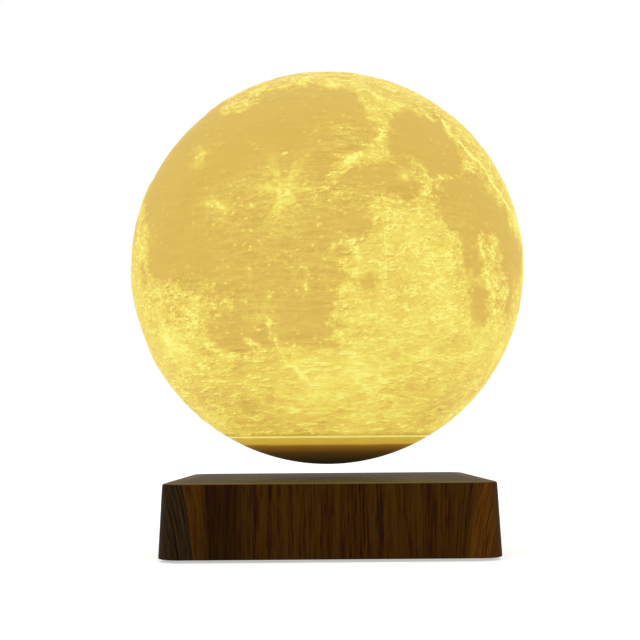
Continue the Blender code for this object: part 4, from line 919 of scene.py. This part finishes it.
# Shares of the noises in a sea and on dry land, or where the print is smooth and where it is crumbly
ROUGH_SHARES = (0.22, 1.0)
BROAD_SHARES = (0.20, 1.0)
HAIR_SHARES = (1.0, 0.4)
PATCH_SHARES = (0.42, 1.0)
THREAD_SHARES = (0.03, 0.45)
SPECK_SHARES = (0.16, 0.50)
WISP_ROUGH_SHARE = 0.60
DRY_THREAD_SHARE = 0.40
DRY_CRUMB_SHARE = 0.27
WISP_CRUMB_SHARE = 0.22
MARK_EDGE = (0.42, 0.66)
MARK_LIGHT = 0.58
# The shine of the rayed craters, from the mottle's low values to its high ones
MOTTLE_ENDS = (0.35, 0.65)
SHINE_SHARES = (0.30, 1.5)
PRINT_BUMP = 0.0004


def moon_print(name):
    """Translucent print lit from inside: frayed seas, mottled highlands, threads, crumbs and specks."""
    finish = Finish(name, roughness=0.62, specular=0.1)
    height = finish.axis("Z")
    low_half = finish.spread(height, MOON_CENTRE.z - ROUND_PRINT_DEPTH, MOON_CENTRE.z - DRAWN_PRINT_DEPTH)
    wisps, marks = finish.attribute("wisps"), finish.attribute("marks")
    noise = {kind: finish.noise(*settings) for kind, settings in PRINT_NOISES.items()}
    mottle, hair = noise["mottle"], noise["hair"]

    depth = finish.total(
        finish.attribute("sea_depth"),
        finish.swing(noise["fray"], FRAY_SWING),
        finish.times(wisps, WISP_DEPTH),
        finish.times(finish.swing(noise["patches"], PATCH_SWING), finish.between(wisps, PATCH_SHARES)),
    )
    dry = finish.spread(depth, 0.5 + SHORE_WIDTH, 0.5 - SHORE_WIDTH)

    threads = finish.blend(low_half, *(finish.threads(*settings) for settings in THREADS))
    crumbs = finish.blend(low_half, *(finish.crumbs(*settings) for settings in CRUMBS))
    cells = finish.cells(SPECK_CELLS, stretch=PRINT_NOISES["grit"][-1]).outputs["Distance"]
    specks = finish.spread(cells, *SPECK_EDGE)
    drawn = finish.swing(noise["drawn"], DRAWN_SWING)
    rough_part = finish.blend(low_half, finish.swing(mottle, MOTTLE_SWING), drawn)
    rough_part = finish.total(rough_part, finish.swing(noise["grit"], GRIT_SWING))
    rough_share = finish.total(finish.between(dry, ROUGH_SHARES), finish.times(wisps, WISP_ROUGH_SHARE))
    crumb_share = finish.total(finish.times(dry, DRY_CRUMB_SHARE), finish.times(wisps, WISP_CRUMB_SHARE))
    total = finish.total(
        finish.between(dry, (SEA_LIGHT, HIGHLAND_LIGHT)),
        finish.attribute("print_light"),
        finish.times(rough_part, rough_share),
        finish.times(crumbs, crumb_share),
        finish.times(finish.swing(noise["broad"], BROAD_SWING), finish.between(dry, BROAD_SHARES)),
        finish.times(finish.swing(hair, HAIR_SWING), finish.between(dry, HAIR_SHARES)),
        finish.times(finish.swing(hair, 1.0), wisps),
        finish.times(threads, finish.between(wisps, THREAD_SHARES)),
        finish.times(threads, dry, DRY_THREAD_SHARE),
        finish.times(specks, finish.between(wisps, SPECK_SHARES)),
        finish.spread(finish.total(marks, finish.swing(mottle, MARK_SWING)), *MARK_EDGE, 0, MARK_LIGHT),
    )
    shine = finish.times(finish.attribute("shine"), finish.spread(mottle, *MOTTLE_ENDS, *SHINE_SHARES))
    left_dark = finish.math("SUBTRACT", 1.0, total, clamp=True)
    total = finish.total(total, finish.times(left_dark, shine))
    seam = finish.spread(height, SEAM_Z + SEAM_BAND, SEAM_Z + SEAM_BAND / 4, 0, SEAM_LIGHT)
    total = finish.total(total, seam)
    finish.glow(finish.ramp(total, PRINT_STOPS))
    finish.colour(finish.ramp(total, PRINT_BASE_STOPS))
    finish.bump(finish.total(mottle, finish.times(hair, 0.5)), 0.35, PRINT_BUMP)
    return finish.material


# Light of the cap by height under the seam, in metres, over the opaque tray
CAP_GLOW = (
    (0.0128, (0.002, 0.001, 0.001)),
    (0.0101, (0.022, 0.012, 0.004)),
    (0.0074, (0.060, 0.028, 0.004)),
    (0.0050, (0.190, 0.082, 0.009)),
    (0.0041, (0.265, 0.126, 0.014)),
    (0.0033, (0.610, 0.400, 0.046)),
    (0.0009, (0.665, 0.455, 0.056)),
    (0.0006, (0.930, 0.800, 0.200)),
    (0.0000, (0.930, 0.800, 0.200)),
)
CAP_DEPTH = SEAM_Z - CAP_LOW.z
CAP_WOBBLE = 0.0005


def cap_print(name):
    """The same print over the opaque tray: bright only along its top edge, and brightest at the seam."""
    finish = Finish(name, specular=0.3)
    wobble = finish.swing(finish.noise(60), CAP_WOBBLE)
    share = finish.spread(finish.total(finish.axis("Z"), wobble), CAP_LOW.z, SEAM_Z)
    glow = finish.ramp(share, tuple((1 - under / CAP_DEPTH, colour) for under, colour in CAP_GLOW))
    layers = finish.noise(95, 3, 0.6, stretch=(1, 1, 11))
    grain = finish.spread(layers, 0.25, 0.75, 0.84, 1.0)
    channels = dict.fromkeys(("Red", "Green", "Blue"), grain)
    shade = finish.add("ShaderNodeCombineColor", channels).outputs["Color"]
    finish.glow(finish.mix(1.0, glow, shade, "MULTIPLY"))
    fine = finish.noise(700, 4, 0.6)
    finish.colour(finish.two_tones(fine, (0.020, 0.014, 0.007), (0.034, 0.023, 0.011)))
    finish.bump(finish.total(fine, layers), 0.25, 0.0003)
    return finish.material


# Walnut film: streak colours from dark to light, the painted shade of the left corner, the top painted
# lighter and greyer as a painted sheen, and the painted highlight along the top's edge with where it lies
WALNUT_STOPS = (
    (0.30, (0.0150, 0.0034, 0.0004)),
    (0.43, (0.0400, 0.0112, 0.0006)),
    (0.52, (0.0510, 0.0182, 0.0009)),
    (0.68, (0.0620, 0.0265, 0.0016)),
)
WALNUT_SHADED_CORNER_STOPS = (
    (0.38, (0.0080, 0.0036, 0.0014)),
    (0.62, (0.0390, 0.0205, 0.0060)),
)
WALNUT_TOP_SHEEN_STOPS = (
    (0.30, (0.056, 0.038, 0.004)),
    (0.50, (0.070, 0.048, 0.006)),
    (0.72, (0.090, 0.064, 0.011)),
)
WALNUT_EDGE_HIGHLIGHT = (0.190, 0.115, 0.042)
TOP_EDGE_HIGHLIGHT_SHARES = (0.86, 0.965)
# Tone of the front and back from the left edge to the right, by the share of their half-width: bands of the
# film's figure, painted shade towards the left corner and painted light on the right corner
FIGURE_LIGHT_AND_SHADE_SHARES = (
    (-0.860, 0.85),
    (-0.845, 1.20),
    (-0.755, 1.10),
    (-0.715, 0.40),
    (-0.560, 0.42),
    (-0.450, 0.92),
    (0.840, 0.90),
    (0.885, 1.80),
    (1.000, 1.70),
)
# Where the painted shade of the left corner begins, by the share of the half-width, and half the width of its
# blurred edge
SHADED_CORNER_SHARE = 0.853
SHADED_CORNER_BLUR_SHARE = 0.006
# How the grain leans in at the corners: from where, how steeply and how far at the foot, in metres
LEAN_FROM_SHARE = 0.60
LEAN_POWER = 1.4
GRAIN_LEAN = 0.0145
# Grains of the film, as scale, detail, roughness, stretch and distortion, and how far each swings the tone
GRAINS = (
    (60, 3, 0.55, (1, 1, 0.10), 0.5),
    (520, 5, 0.70, (1, 1, 0.022)),
    (1300, 3, 0.70, (1, 1, 0.060)),
)
GRAIN_SWINGS = (0.25, 1.10, 0.9)
# Dark pits where the streaks' noise is this low, and their strength
PIT_EDGE = (0.40, 0.33)
PIT_SHARE = 0.80
# How far a face looks to the front or back, where the grain's direction changes over
FACING_EDGE = (0.50, 0.90)
# How far a face looks up, where the side goes over into the rim, which carries the painted highlight, and the
# rim into the top
SIDE_TO_RIM = (0.62, 0.82)
RIM_TO_TOP = (0.86, 0.97)
TOP_EDGE_HIGHLIGHT_STRENGTH = 0.7


def walnut(name):
    """Walnut film: upright grain that leans in at the corners, painted shade on the left corner and painted
    light on the right one, a top painted lighter as a painted sheen, and a painted highlight along the top's
    edge.
    """
    finish = Finish(name, specular=0.03)
    normal = finish.add("ShaderNodeNewGeometry").outputs["Normal"]
    drop = finish.spread(finish.axis("Z"), CASE_HIGH.z, CASE_LOW.z)
    facing = finish.spread(finish.math("ABSOLUTE", finish.axis("Y", normal)), *FACING_EDGE)
    leant, grain = {}, {}
    for along in "XY":
        place = finish.axis(along)
        away = finish.math("ABSOLUTE", place)
        reach = finish.spread(away, CASE_HIGH.x * LEAN_FROM_SHARE, CASE_HIGH.x)
        lean = finish.times(finish.math("POWER", reach, LEAN_POWER), drop, GRAIN_LEAN)
        leant[along] = finish.times(finish.total(away, lean), finish.math("SIGN", place))
        axes = {along: leant[along], "Z": finish.axis("Z")}
        grain[along] = finish.add("ShaderNodeCombineXYZ", axes).outputs["Vector"]

    def along_grain(*settings):
        """Noise laid on the front and back by X and on the sides by Y, crossfaded round the corners."""
        return finish.blend(facing, *(finish.noise(*settings, place=grain[axis]) for axis in "YX"))

    figure, streaks, pores = grains = [along_grain(*settings) for settings in GRAINS]
    blend = finish.total(0.5, *map(finish.swing, grains, GRAIN_SWINGS))
    side = finish.ramp(blend, WALNUT_STOPS)
    # Tone by place: the film's figure, with painted shade at the left end and painted light on the right
    # corner
    figure_light_and_shade_stops = [(share / 2 + 0.5, (tone / 2,) * 3) for share, tone in FIGURE_LIGHT_AND_SHADE_SHARES]
    by_place = finish.ramp(finish.spread(leant["X"], CASE_LOW.x, CASE_HIGH.x), figure_light_and_shade_stops)
    by_noise = finish.two_tones(figure, (0.36,) * 3, (0.64,) * 3, 0.35)
    tone = finish.mix(facing, by_noise, by_place)
    side = finish.mix(1.0, finish.mix(1.0, side, (2.0, 2.0, 2.0), "MULTIPLY"), tone, "MULTIPLY")
    # Painted shade: the left corner darker and greyer than the rest of the film
    shaded_corner_ends = (CASE_LOW.x * (SHADED_CORNER_SHARE + sign * SHADED_CORNER_BLUR_SHARE) for sign in (-1, 1))
    corner = finish.spread(leant["X"], *shaded_corner_ends)
    side = finish.mix(corner, side, finish.ramp(blend, WALNUT_SHADED_CORNER_STOPS))
    pits = finish.times(finish.spread(streaks, *PIT_EDGE), PIT_SHARE)
    side = finish.mix(pits, side, WALNUT_STOPS[0][1])

    up = finish.axis("Z", normal)
    across = finish.noise(300, 4, 0.6, stretch=(0.03, 1, 1))
    broad = finish.noise(45, 3, 0.55, stretch=(0.2, 1, 1))
    # Painted sheen: the top coloured lighter and greyer than the film on the sides
    top = finish.ramp(finish.total(finish.times(across, 0.4), finish.times(broad, 0.6)), WALNUT_TOP_SHEEN_STOPS)
    # Painted highlight along the outer edge of the top and on the rounded rim
    outward = finish.math("MAXIMUM", *(finish.math("ABSOLUTE", finish.axis(axis)) for axis in "XY"))
    edge_highlight = finish.spread(outward, *(CASE_HIGH.x * share for share in TOP_EDGE_HIGHLIGHT_SHARES))
    top = finish.mix(finish.times(edge_highlight, TOP_EDGE_HIGHLIGHT_STRENGTH), top, WALNUT_EDGE_HIGHLIGHT)
    rim = finish.mix(finish.spread(up, *RIM_TO_TOP), WALNUT_EDGE_HIGHLIGHT, top)
    finish.colour(finish.mix(finish.spread(up, *SIDE_TO_RIM), side, rim))
    finish.rough(streaks, 0.50, 0.66)
    finish.bump(finish.total(streaks, finish.times(pores, 0.6)), 0.25, 0.00015)
    return finish.material


def moulded(name, low, high, roughness=(0.45, 0.6), specular=0.5):
    """Moulded plastic or rubber with a fine spark-eroded texture."""
    finish = Finish(name, specular=specular)
    cloud_noise = finish.noise(90, 4, 0.5)
    fine = finish.noise(2200, 3, 0.6)
    finish.colour(finish.two_tones(cloud_noise, low, high, 0.35))
    finish.rough(cloud_noise, *roughness)
    finish.bump(fine, 0.25, 0.00012)
    return finish.material


def metal(name, low, high, roughness, grain=(1, 1, 1)):
    """Plated or drawn metal with fine marks along its working direction."""
    finish = Finish(name, metallic=1.0)
    marks = finish.noise(1500, 4, 0.6, stretch=grain)
    stains = finish.noise(160, 4, 0.6)
    finish.colour(finish.two_tones(stains, low, high, 0.35))
    finish.rough(marks, *roughness)
    finish.bump(marks, 0.15, 0.00008)
    return finish.material


def ferrite(name):
    """Pressed and ground ferrite: dark grey with pale grinding dust and small chips."""
    finish = Finish(name, specular=0.4)
    grit = finish.noise(1800, 4, 0.7)
    chips = finish.spread(finish.cells(500).outputs["Distance"], 0.12, 0.05)
    base = finish.two_tones(grit, (0.035, 0.035, 0.038), (0.085, 0.083, 0.085))
    finish.colour(finish.mix(finish.times(chips, 0.5), base, (0.16, 0.155, 0.15)))
    finish.rough(grit, 0.55, 0.8)
    finish.bump(grit, 0.3, 0.0001)
    return finish.material


def wound_copper(name):
    """Enamelled copper wire laid in rings round each coil's axis."""
    finish = Finish(name, metallic=0.9)
    turns = finish.noise(900, 2, 0.5, stretch=(0.3, 0.3, 3.2))
    tone = finish.noise(120, 4, 0.6)
    base = finish.two_tones(tone, (0.42, 0.135, 0.045), (0.74, 0.300, 0.120))
    finish.colour(finish.mix(finish.spread(turns, 0.60, 0.42), base, (0.20, 0.055, 0.02)))
    finish.rough(turns, 0.28, 0.5)
    finish.bump(turns, 0.5, 0.0003)
    return finish.material


def board(name, mask, mask_dark, trace):
    """Solder-masked board with traces that show through the mask."""
    finish = Finish(name, coat=0.15)
    cells = finish.cells(420, "DISTANCE_TO_EDGE").outputs["Distance"]
    traces = finish.spread(cells, 0.10, 0.05)
    tone = finish.two_tones(finish.noise(300), mask_dark, mask)
    finish.colour(finish.mix(finish.times(traces, 0.6), tone, trace))
    finish.rough(tone, 0.32, 0.45)
    finish.bump(traces, 0.3, 0.0001)
    return finish.material


def led_lens(name):
    """Phosphor lens over the lamp's chip, lit."""
    finish = Finish(name, roughness=0.35)
    grain = finish.noise(2600, 3)
    finish.colour(finish.two_tones(grain, (0.74, 0.56, 0.12), (0.86, 0.72, 0.26)))
    finish.glow(finish.two_tones(grain, (1.0, 0.72, 0.25), (1.0, 0.82, 0.40)), 2.0)
    finish.bump(grain, 0.2, 0.0001)
    return finish.material


# Each slot's finish: the slot, its function and that function's settings
FINISHES = (
    ("walnut_finish", walnut),
    ("moon_print", moon_print),
    ("cap_print", cap_print),
    ("black_plastic", moulded, (0.014, 0.014, 0.015), (0.028, 0.027, 0.027)),
    ("white_plastic", moulded, (0.66, 0.65, 0.60), (0.78, 0.77, 0.73)),
    ("foot_rubber", moulded, (0.018, 0.018, 0.018), (0.040, 0.039, 0.037), (0.7, 0.9), 0.3),
    ("screw_steel", metal, (0.50, 0.50, 0.50), (0.66, 0.65, 0.62), (0.25, 0.42)),
    ("nickel_plate", metal, (0.60, 0.57, 0.52), (0.72, 0.69, 0.64), (0.12, 0.3), (1, 1, 4)),
    ("ferrite", ferrite),
    ("copper", wound_copper),
    ("green_board", board, (0.016, 0.120, 0.045), (0.010, 0.085, 0.030), (0.050, 0.200, 0.070)),
    ("white_board", board, (0.80, 0.80, 0.77), (0.72, 0.72, 0.70), (0.86, 0.86, 0.83)),
    ("chip_black", moulded, (0.010, 0.010, 0.011), (0.022, 0.022, 0.023), (0.4, 0.55)),
    ("capacitor_can", metal, (0.42, 0.43, 0.47), (0.58, 0.59, 0.62), (0.2, 0.38), (1, 1, 0.1)),
    ("led_yellow", led_lens),
    ("wire_red", moulded, (0.36, 0.020, 0.014), (0.50, 0.035, 0.025), (0.3, 0.45)),
)


# Turned pieces and cuts

SHARP_ANGLE = math.radians(32)
DOUBLED_POINTS = 1e-6
COLLAPSED_EDGES = 1e-7
ROUND_SEGMENTS = 64
SCREW_SEGMENTS = 40


def weld(piece):
    """Merges doubled points, drops collapsed faces, turns all faces outwards and marks the sharp edges."""
    bm = bmesh.new()
    bm.from_mesh(piece.data)
    bmesh.ops.remove_doubles(bm, verts=bm.verts, dist=DOUBLED_POINTS)
    bmesh.ops.dissolve_degenerate(bm, edges=bm.edges, dist=COLLAPSED_EDGES)
    bmesh.ops.recalc_face_normals(bm, faces=bm.faces)
    bm.to_mesh(piece.data)
    bm.free()
    piece.data.shade_smooth()
    piece.data.set_sharp_from_angle(angle=SHARP_ANGLE)


def turned_mesh(profile, segments):
    """Points and quads of a closed profile of (radius, height) points turned about the upright axis."""
    verts, faces = [], []
    count = len(profile)
    for step in range(segments):
        angle = 2 * math.pi * step / segments
        verts += [(radius * math.cos(angle), radius * math.sin(angle), height) for radius, height in profile]
        after = (step + 1) % segments
        for k in range(count):
            n = (k + 1) % count
            faces.append((step * count + k, step * count + n, after * count + n, after * count + k))
    return verts, faces


def turned(name, profile, segments, material, body, slot, replaced, lay=Matrix.Identity(4)):
    """A turned piece, laid in its place."""
    verts, faces = turned_mesh(profile, segments)
    piece = mesh_piece(name, [lay @ Vector(v) for v in verts], faces, material, body, slot, replaced)
    weld(piece)
    return piece


def carve(piece, verts, faces):
    """Cuts a closed shape from a piece and keeps the result as its mesh."""
    cutter = mesh_object("cutter", verts, faces)
    weld(cutter)
    modifier = piece.modifiers.new("carve", "BOOLEAN")
    modifier.operation = "DIFFERENCE"
    modifier.object = cutter
    view = bpy.context.evaluated_depsgraph_get()
    piece.data = bpy.data.meshes.new_from_object(piece.evaluated_get(view))
    piece.modifiers.clear()
    bpy.data.objects.remove(cutter)
    weld(piece)


def rounded(radius, low, high, edge, steps=4):
    """The profile of a disc with rounded edges, from its top centre to its bottom centre."""
    profile = [(0, high)]
    for start, middle in ((1, high - edge), (0, low + edge)):
        for k in range(steps + 1):
            angle = math.pi / 2 * (start - k / steps)
            profile.append((radius - edge + edge * math.cos(angle), middle + edge * math.sin(angle)))
    return profile + [(0, low)]


# Casing

CASE_DRAFT = math.radians(2.4)
CASE_CORNER = 0.010
CASE_EDGE = 0.001
CASE_WALL = 0.004
CASE_TOP_WALL = 0.0025
CASE_LIP = 0.0003
CORNER_STEPS = 12
SIDE_STEPS = 14
EDGE_STEPS = 5
DRAFT_ROWS = 8
FIT = 0.0003
JACK_NOSE = 0.0042


def case_half_width(z):
    return CASE_HIGH.x - (z - CASE_LOW.z) * math.tan(CASE_DRAFT)


def square_ring(half, corner, z):
    """Points round a rounded square: an arc at each corner and even steps along each side."""
    arcs = []
    for quarter in range(4):
        middle = Vector((half - corner, half - corner, 0))
        turn = Matrix.Rotation(quarter * math.pi / 2, 3, "Z")
        angles = [math.pi / 2 * k / CORNER_STEPS for k in range(CORNER_STEPS + 1)]
        arcs.append([turn @ (middle + corner * Vector((math.cos(a), math.sin(a), 0))) for a in angles])
    points = []
    for arc, following in zip(arcs, arcs[1:] + arcs[:1]):
        points += arc
        points += [arc[-1].lerp(following[0], k / SIDE_STEPS) for k in range(1, SIDE_STEPS)]
    return [(p.x, p.y, z) for p in points]


def casing(material):
    """The walnut casing: a rounded square shell, open below, with drafted sides and a hole for the jack."""
    top, low = CASE_HIGH.z, CASE_LOW.z
    ceiling = top - CASE_TOP_WALL
    rim_half = case_half_width(top) - CASE_EDGE
    round_corner = CASE_CORNER - CASE_EDGE
    inner_corner = CASE_CORNER - CASE_WALL
    rows = [(rim_half - CASE_LIP, round_corner - CASE_LIP, top)]
    for k in range(EDGE_STEPS + 1):
        angle = math.pi / 2 * (1 - k / EDGE_STEPS)
        out = CASE_EDGE * math.cos(angle)
        rows.append((rim_half + out, round_corner + out, top - CASE_EDGE + CASE_EDGE * math.sin(angle)))
    for z in np.linspace(top - CASE_EDGE, low + CASE_LIP, DRAFT_ROWS + 1)[1:]:
        rows.append((case_half_width(z), CASE_CORNER, z))
    rows.append((case_half_width(low) - CASE_LIP, CASE_CORNER - CASE_LIP, low))
    rows.append((case_half_width(low) - CASE_WALL, inner_corner, low))
    rows.append((case_half_width(ceiling) - CASE_WALL, inner_corner, ceiling))
    rows.append((case_half_width(ceiling) - CASE_WALL - CASE_LIP, inner_corner - CASE_LIP, ceiling))
    rings = [square_ring(*row) for row in rows]
    count = len(rings[0])
    faces = grid_faces(len(rings), count)
    faces.append(tuple(range(count)))
    faces.append(tuple(reversed(range((len(rings) - 1) * count, len(rings) * count))))
    verts = sum(rings, [])
    piece = mesh_piece("walnut_casing", verts, faces, material, "base", "walnut_finish", "base_housing")
    weld(piece)

    jack_z = (JACK_LOW.z + JACK_HIGH.z) / 2
    profile = rounded(JACK_NOSE + FIT, -2 * CASE_WALL, 2 * CASE_WALL, FIT)
    hole, hole_faces = turned_mesh(profile, ROUND_SEGMENTS)
    lay = Matrix.Translation((0, case_half_width(jack_z), jack_z)) @ Matrix.Rotation(math.pi / 2, 4, "X")
    carve(piece, [lay @ Vector(v) for v in hole], hole_faces)
    return piece


# Cap, feet and screws

CAP_SEGMENTS = 180
CAP_STEPS = 22
CAP_WALL = 0.002
SPIGOT_WALL = 0.0018
SEAM_GAP = 0.00005


def sphere_arc(radius, first, last, steps):
    """Points (radius, height) on a sphere about the moon's centre, between two heights below it."""
    first_angle, last_angle = (math.acos((MOON_CENTRE.z - z) / radius) for z in (first, last))
    angles = np.linspace(first_angle, last_angle, steps + 1)
    return [(radius * math.sin(a), MOON_CENTRE.z - radius * math.cos(a)) for a in angles]


def cap_surface(material):
    """The dish that carries the sphere's curve on below the seam, with the spigot in the collar."""
    inner = MOON_RADIUS - CAP_WALL
    rim = SEAM_Z - SEAM_GAP
    spigot = collar_bore() - FIT
    meet = MOON_CENTRE.z - math.sqrt(inner**2 - (spigot - SPIGOT_WALL) ** 2)
    profile = sphere_arc(MOON_RADIUS, rim, MOON_CENTRE.z - MOON_RADIUS, CAP_STEPS)
    profile += sphere_arc(inner, MOON_CENTRE.z - inner, meet, CAP_STEPS)
    profile += [(spigot - SPIGOT_WALL, CAP_HIGH.z), (spigot, CAP_HIGH.z), (spigot, rim)]
    return turned("cap_surface", profile, CAP_SEGMENTS, material, "moon", "cap_print", "bottom_cap")


def collar_bore():
    """The bore of the mouth ring's collar, the least distance of its points from the upright axis."""
    points = frame["nodes"]["mouth_ring"].data.vertices
    return min(math.hypot(p.co.x, p.co.y) for p in points)


FOOT_RADIUS = 0.006
FOOT_EDGE = 0.0007


def four_places(name):
    """Number, lowest and highest corner and upright axis of each of four like nodes."""
    for number in range(1, 5):
        low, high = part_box(f"{name}_{number}")
        middle = (low + high) / 2
        yield number, low, high, Matrix.Translation((middle.x, middle.y, 0))


def feet(material):
    """Rubber pads with rounded edges."""
    for k, low, high, lay in four_places("foot_pad"):
        profile = rounded(FOOT_RADIUS, low.z, high.z, FOOT_EDGE)
        turned(f"foot_{k}", profile, ROUND_SEGMENTS, material, "base", "foot_rubber", f"foot_pad_{k}", lay)


SCREW_HEAD = 0.0028
SCREW_SHANK = 0.0013
SCREW_RIM = 0.0003
THREAD_PITCH = 0.0009
THREAD_DEPTH = 0.00022
CROSS_WIDTH = 0.0007
CROSS_REACH = 0.0016
CROSS_DEPTH = 0.0012


def box_mesh(low, high):
    """Points and quads of an upright box."""
    verts = list(itertools.product(*zip(low, high)))
    faces = [(0, 1, 3, 2), (4, 6, 7, 5), (0, 4, 5, 1), (2, 3, 7, 6), (0, 2, 6, 4), (1, 5, 7, 3)]
    return verts, faces


def cover_screws(material):
    """Countersunk screws with a cross recess and ridges for the thread."""
    root = SCREW_SHANK - THREAD_DEPTH
    for k, low, high, lay in four_places("cover_screw"):
        cone_top = low.z + SCREW_RIM + SCREW_HEAD - SCREW_SHANK
        profile = [(0, low.z), (SCREW_HEAD, low.z), (SCREW_HEAD, low.z + SCREW_RIM), (root, cone_top)]
        z = cone_top + THREAD_PITCH
        while z < high.z - THREAD_PITCH:
            profile += [(root, z - THREAD_PITCH / 3), (SCREW_SHANK, z), (root, z + THREAD_PITCH / 3)]
            z += THREAD_PITCH
        profile += [(root, high.z - SCREW_RIM), (0, high.z)]
        name, replaced = f"cover_screw_head_{k}", f"cover_screw_{k}"
        screw = turned(name, profile, SCREW_SEGMENTS, material, "base", "screw_steel", replaced, lay)
        head = lay @ Vector((0, 0, low.z))
        for reach_x, reach_y in ((CROSS_REACH, CROSS_WIDTH / 2), (CROSS_WIDTH / 2, CROSS_REACH)):
            corner = Vector((reach_x, reach_y, CROSS_DEPTH))
            carve(screw, *box_mesh(head - corner, head + corner))


def paint_nodes(finishes):
    """Gives each carried-over node the finish of its slot."""
    for row in frame["record"]["subparts"]:
        node = frame["nodes"][row["node"]]
        node.data.materials.clear()
        node.data.materials.append(finishes[row["material_slot"]])


# Studio


def add_camera():
    data = bpy.data.cameras.new("camera")
    data.sensor_width = SENSOR_WIDTH_MM
    data.lens = SENSOR_WIDTH_MM * FOCAL_PIXELS / PICTURE_SIZE
    camera = add_object("camera", data)
    camera.location = CAMERA_PLACE
    camera.rotation_euler = CAMERA_TURN.to_euler()
    bpy.context.scene.camera = camera


def add_floor():
    """A floor that the camera sees as white but for the shadow on it."""
    half = FLOOR_SIZE / 2
    corners = [(-half, -half, 0), (half, -half, 0), (half, half, 0), (-half, half, 0)]
    floor = mesh_object("floor", corners, [range(4)])
    paint = Finish("floor", FLOOR_ROUGHNESS, specular=FLOOR_SPECULAR)
    paint.colour(FLOOR_COLOUR)
    paint.glow(WHITE)
    paint.put(paint.times(paint.seen_white(), FLOOR_LIFT), paint.shader.inputs["Emission Strength"])
    floor.data.materials.append(paint.material)


def add_world():
    """Soft light from all sides, which the camera sees as white."""
    world = bpy.data.worlds.new("studio")
    world.use_nodes = True
    bpy.context.scene.world = world
    nodes = Nodes(world.node_tree)
    sky = world.node_tree.nodes["Background"].inputs
    nodes.put(WHITE, sky["Color"])
    nodes.put(nodes.spread(nodes.seen_white(), 0, 1, WORLD_LIGHT, 1.0), sky["Strength"])


def area_light(name, place, size, watts):
    light = add_object(name, bpy.data.lights.new(name, "AREA"))
    light.data.size = size
    light.data.energy = watts
    light.location = place
    return light


def add_lights():
    for number, (place, size, watts) in enumerate(SOFT_BOXES):
        light = area_light(f"soft_box_{number + 1}", place, size, watts)
        light.rotation_euler = (LIT_PLACE - Vector(place)).to_track_quat("-Z", "Y").to_euler()
    glow = area_light("glow_on_base", GLOW_PLACE, GLOW_WIDTH, GLOW_WATTS)
    glow.data.shape = "DISK"
    glow.data.color = GLOW_COLOUR


add_camera()
add_world()
add_lights()
add_floor()
finishes = {slot: make(slot, *settings) for slot, make, *settings in FINISHES}
paint_nodes(finishes)
moon_surface(finishes["moon_print"])
cap_surface(finishes["cap_print"])
casing(finishes["walnut_finish"])
feet(finishes["foot_rubber"])
cover_screws(finishes["screw_steel"])

bpy.context.scene.view_settings.view_transform = "Standard"
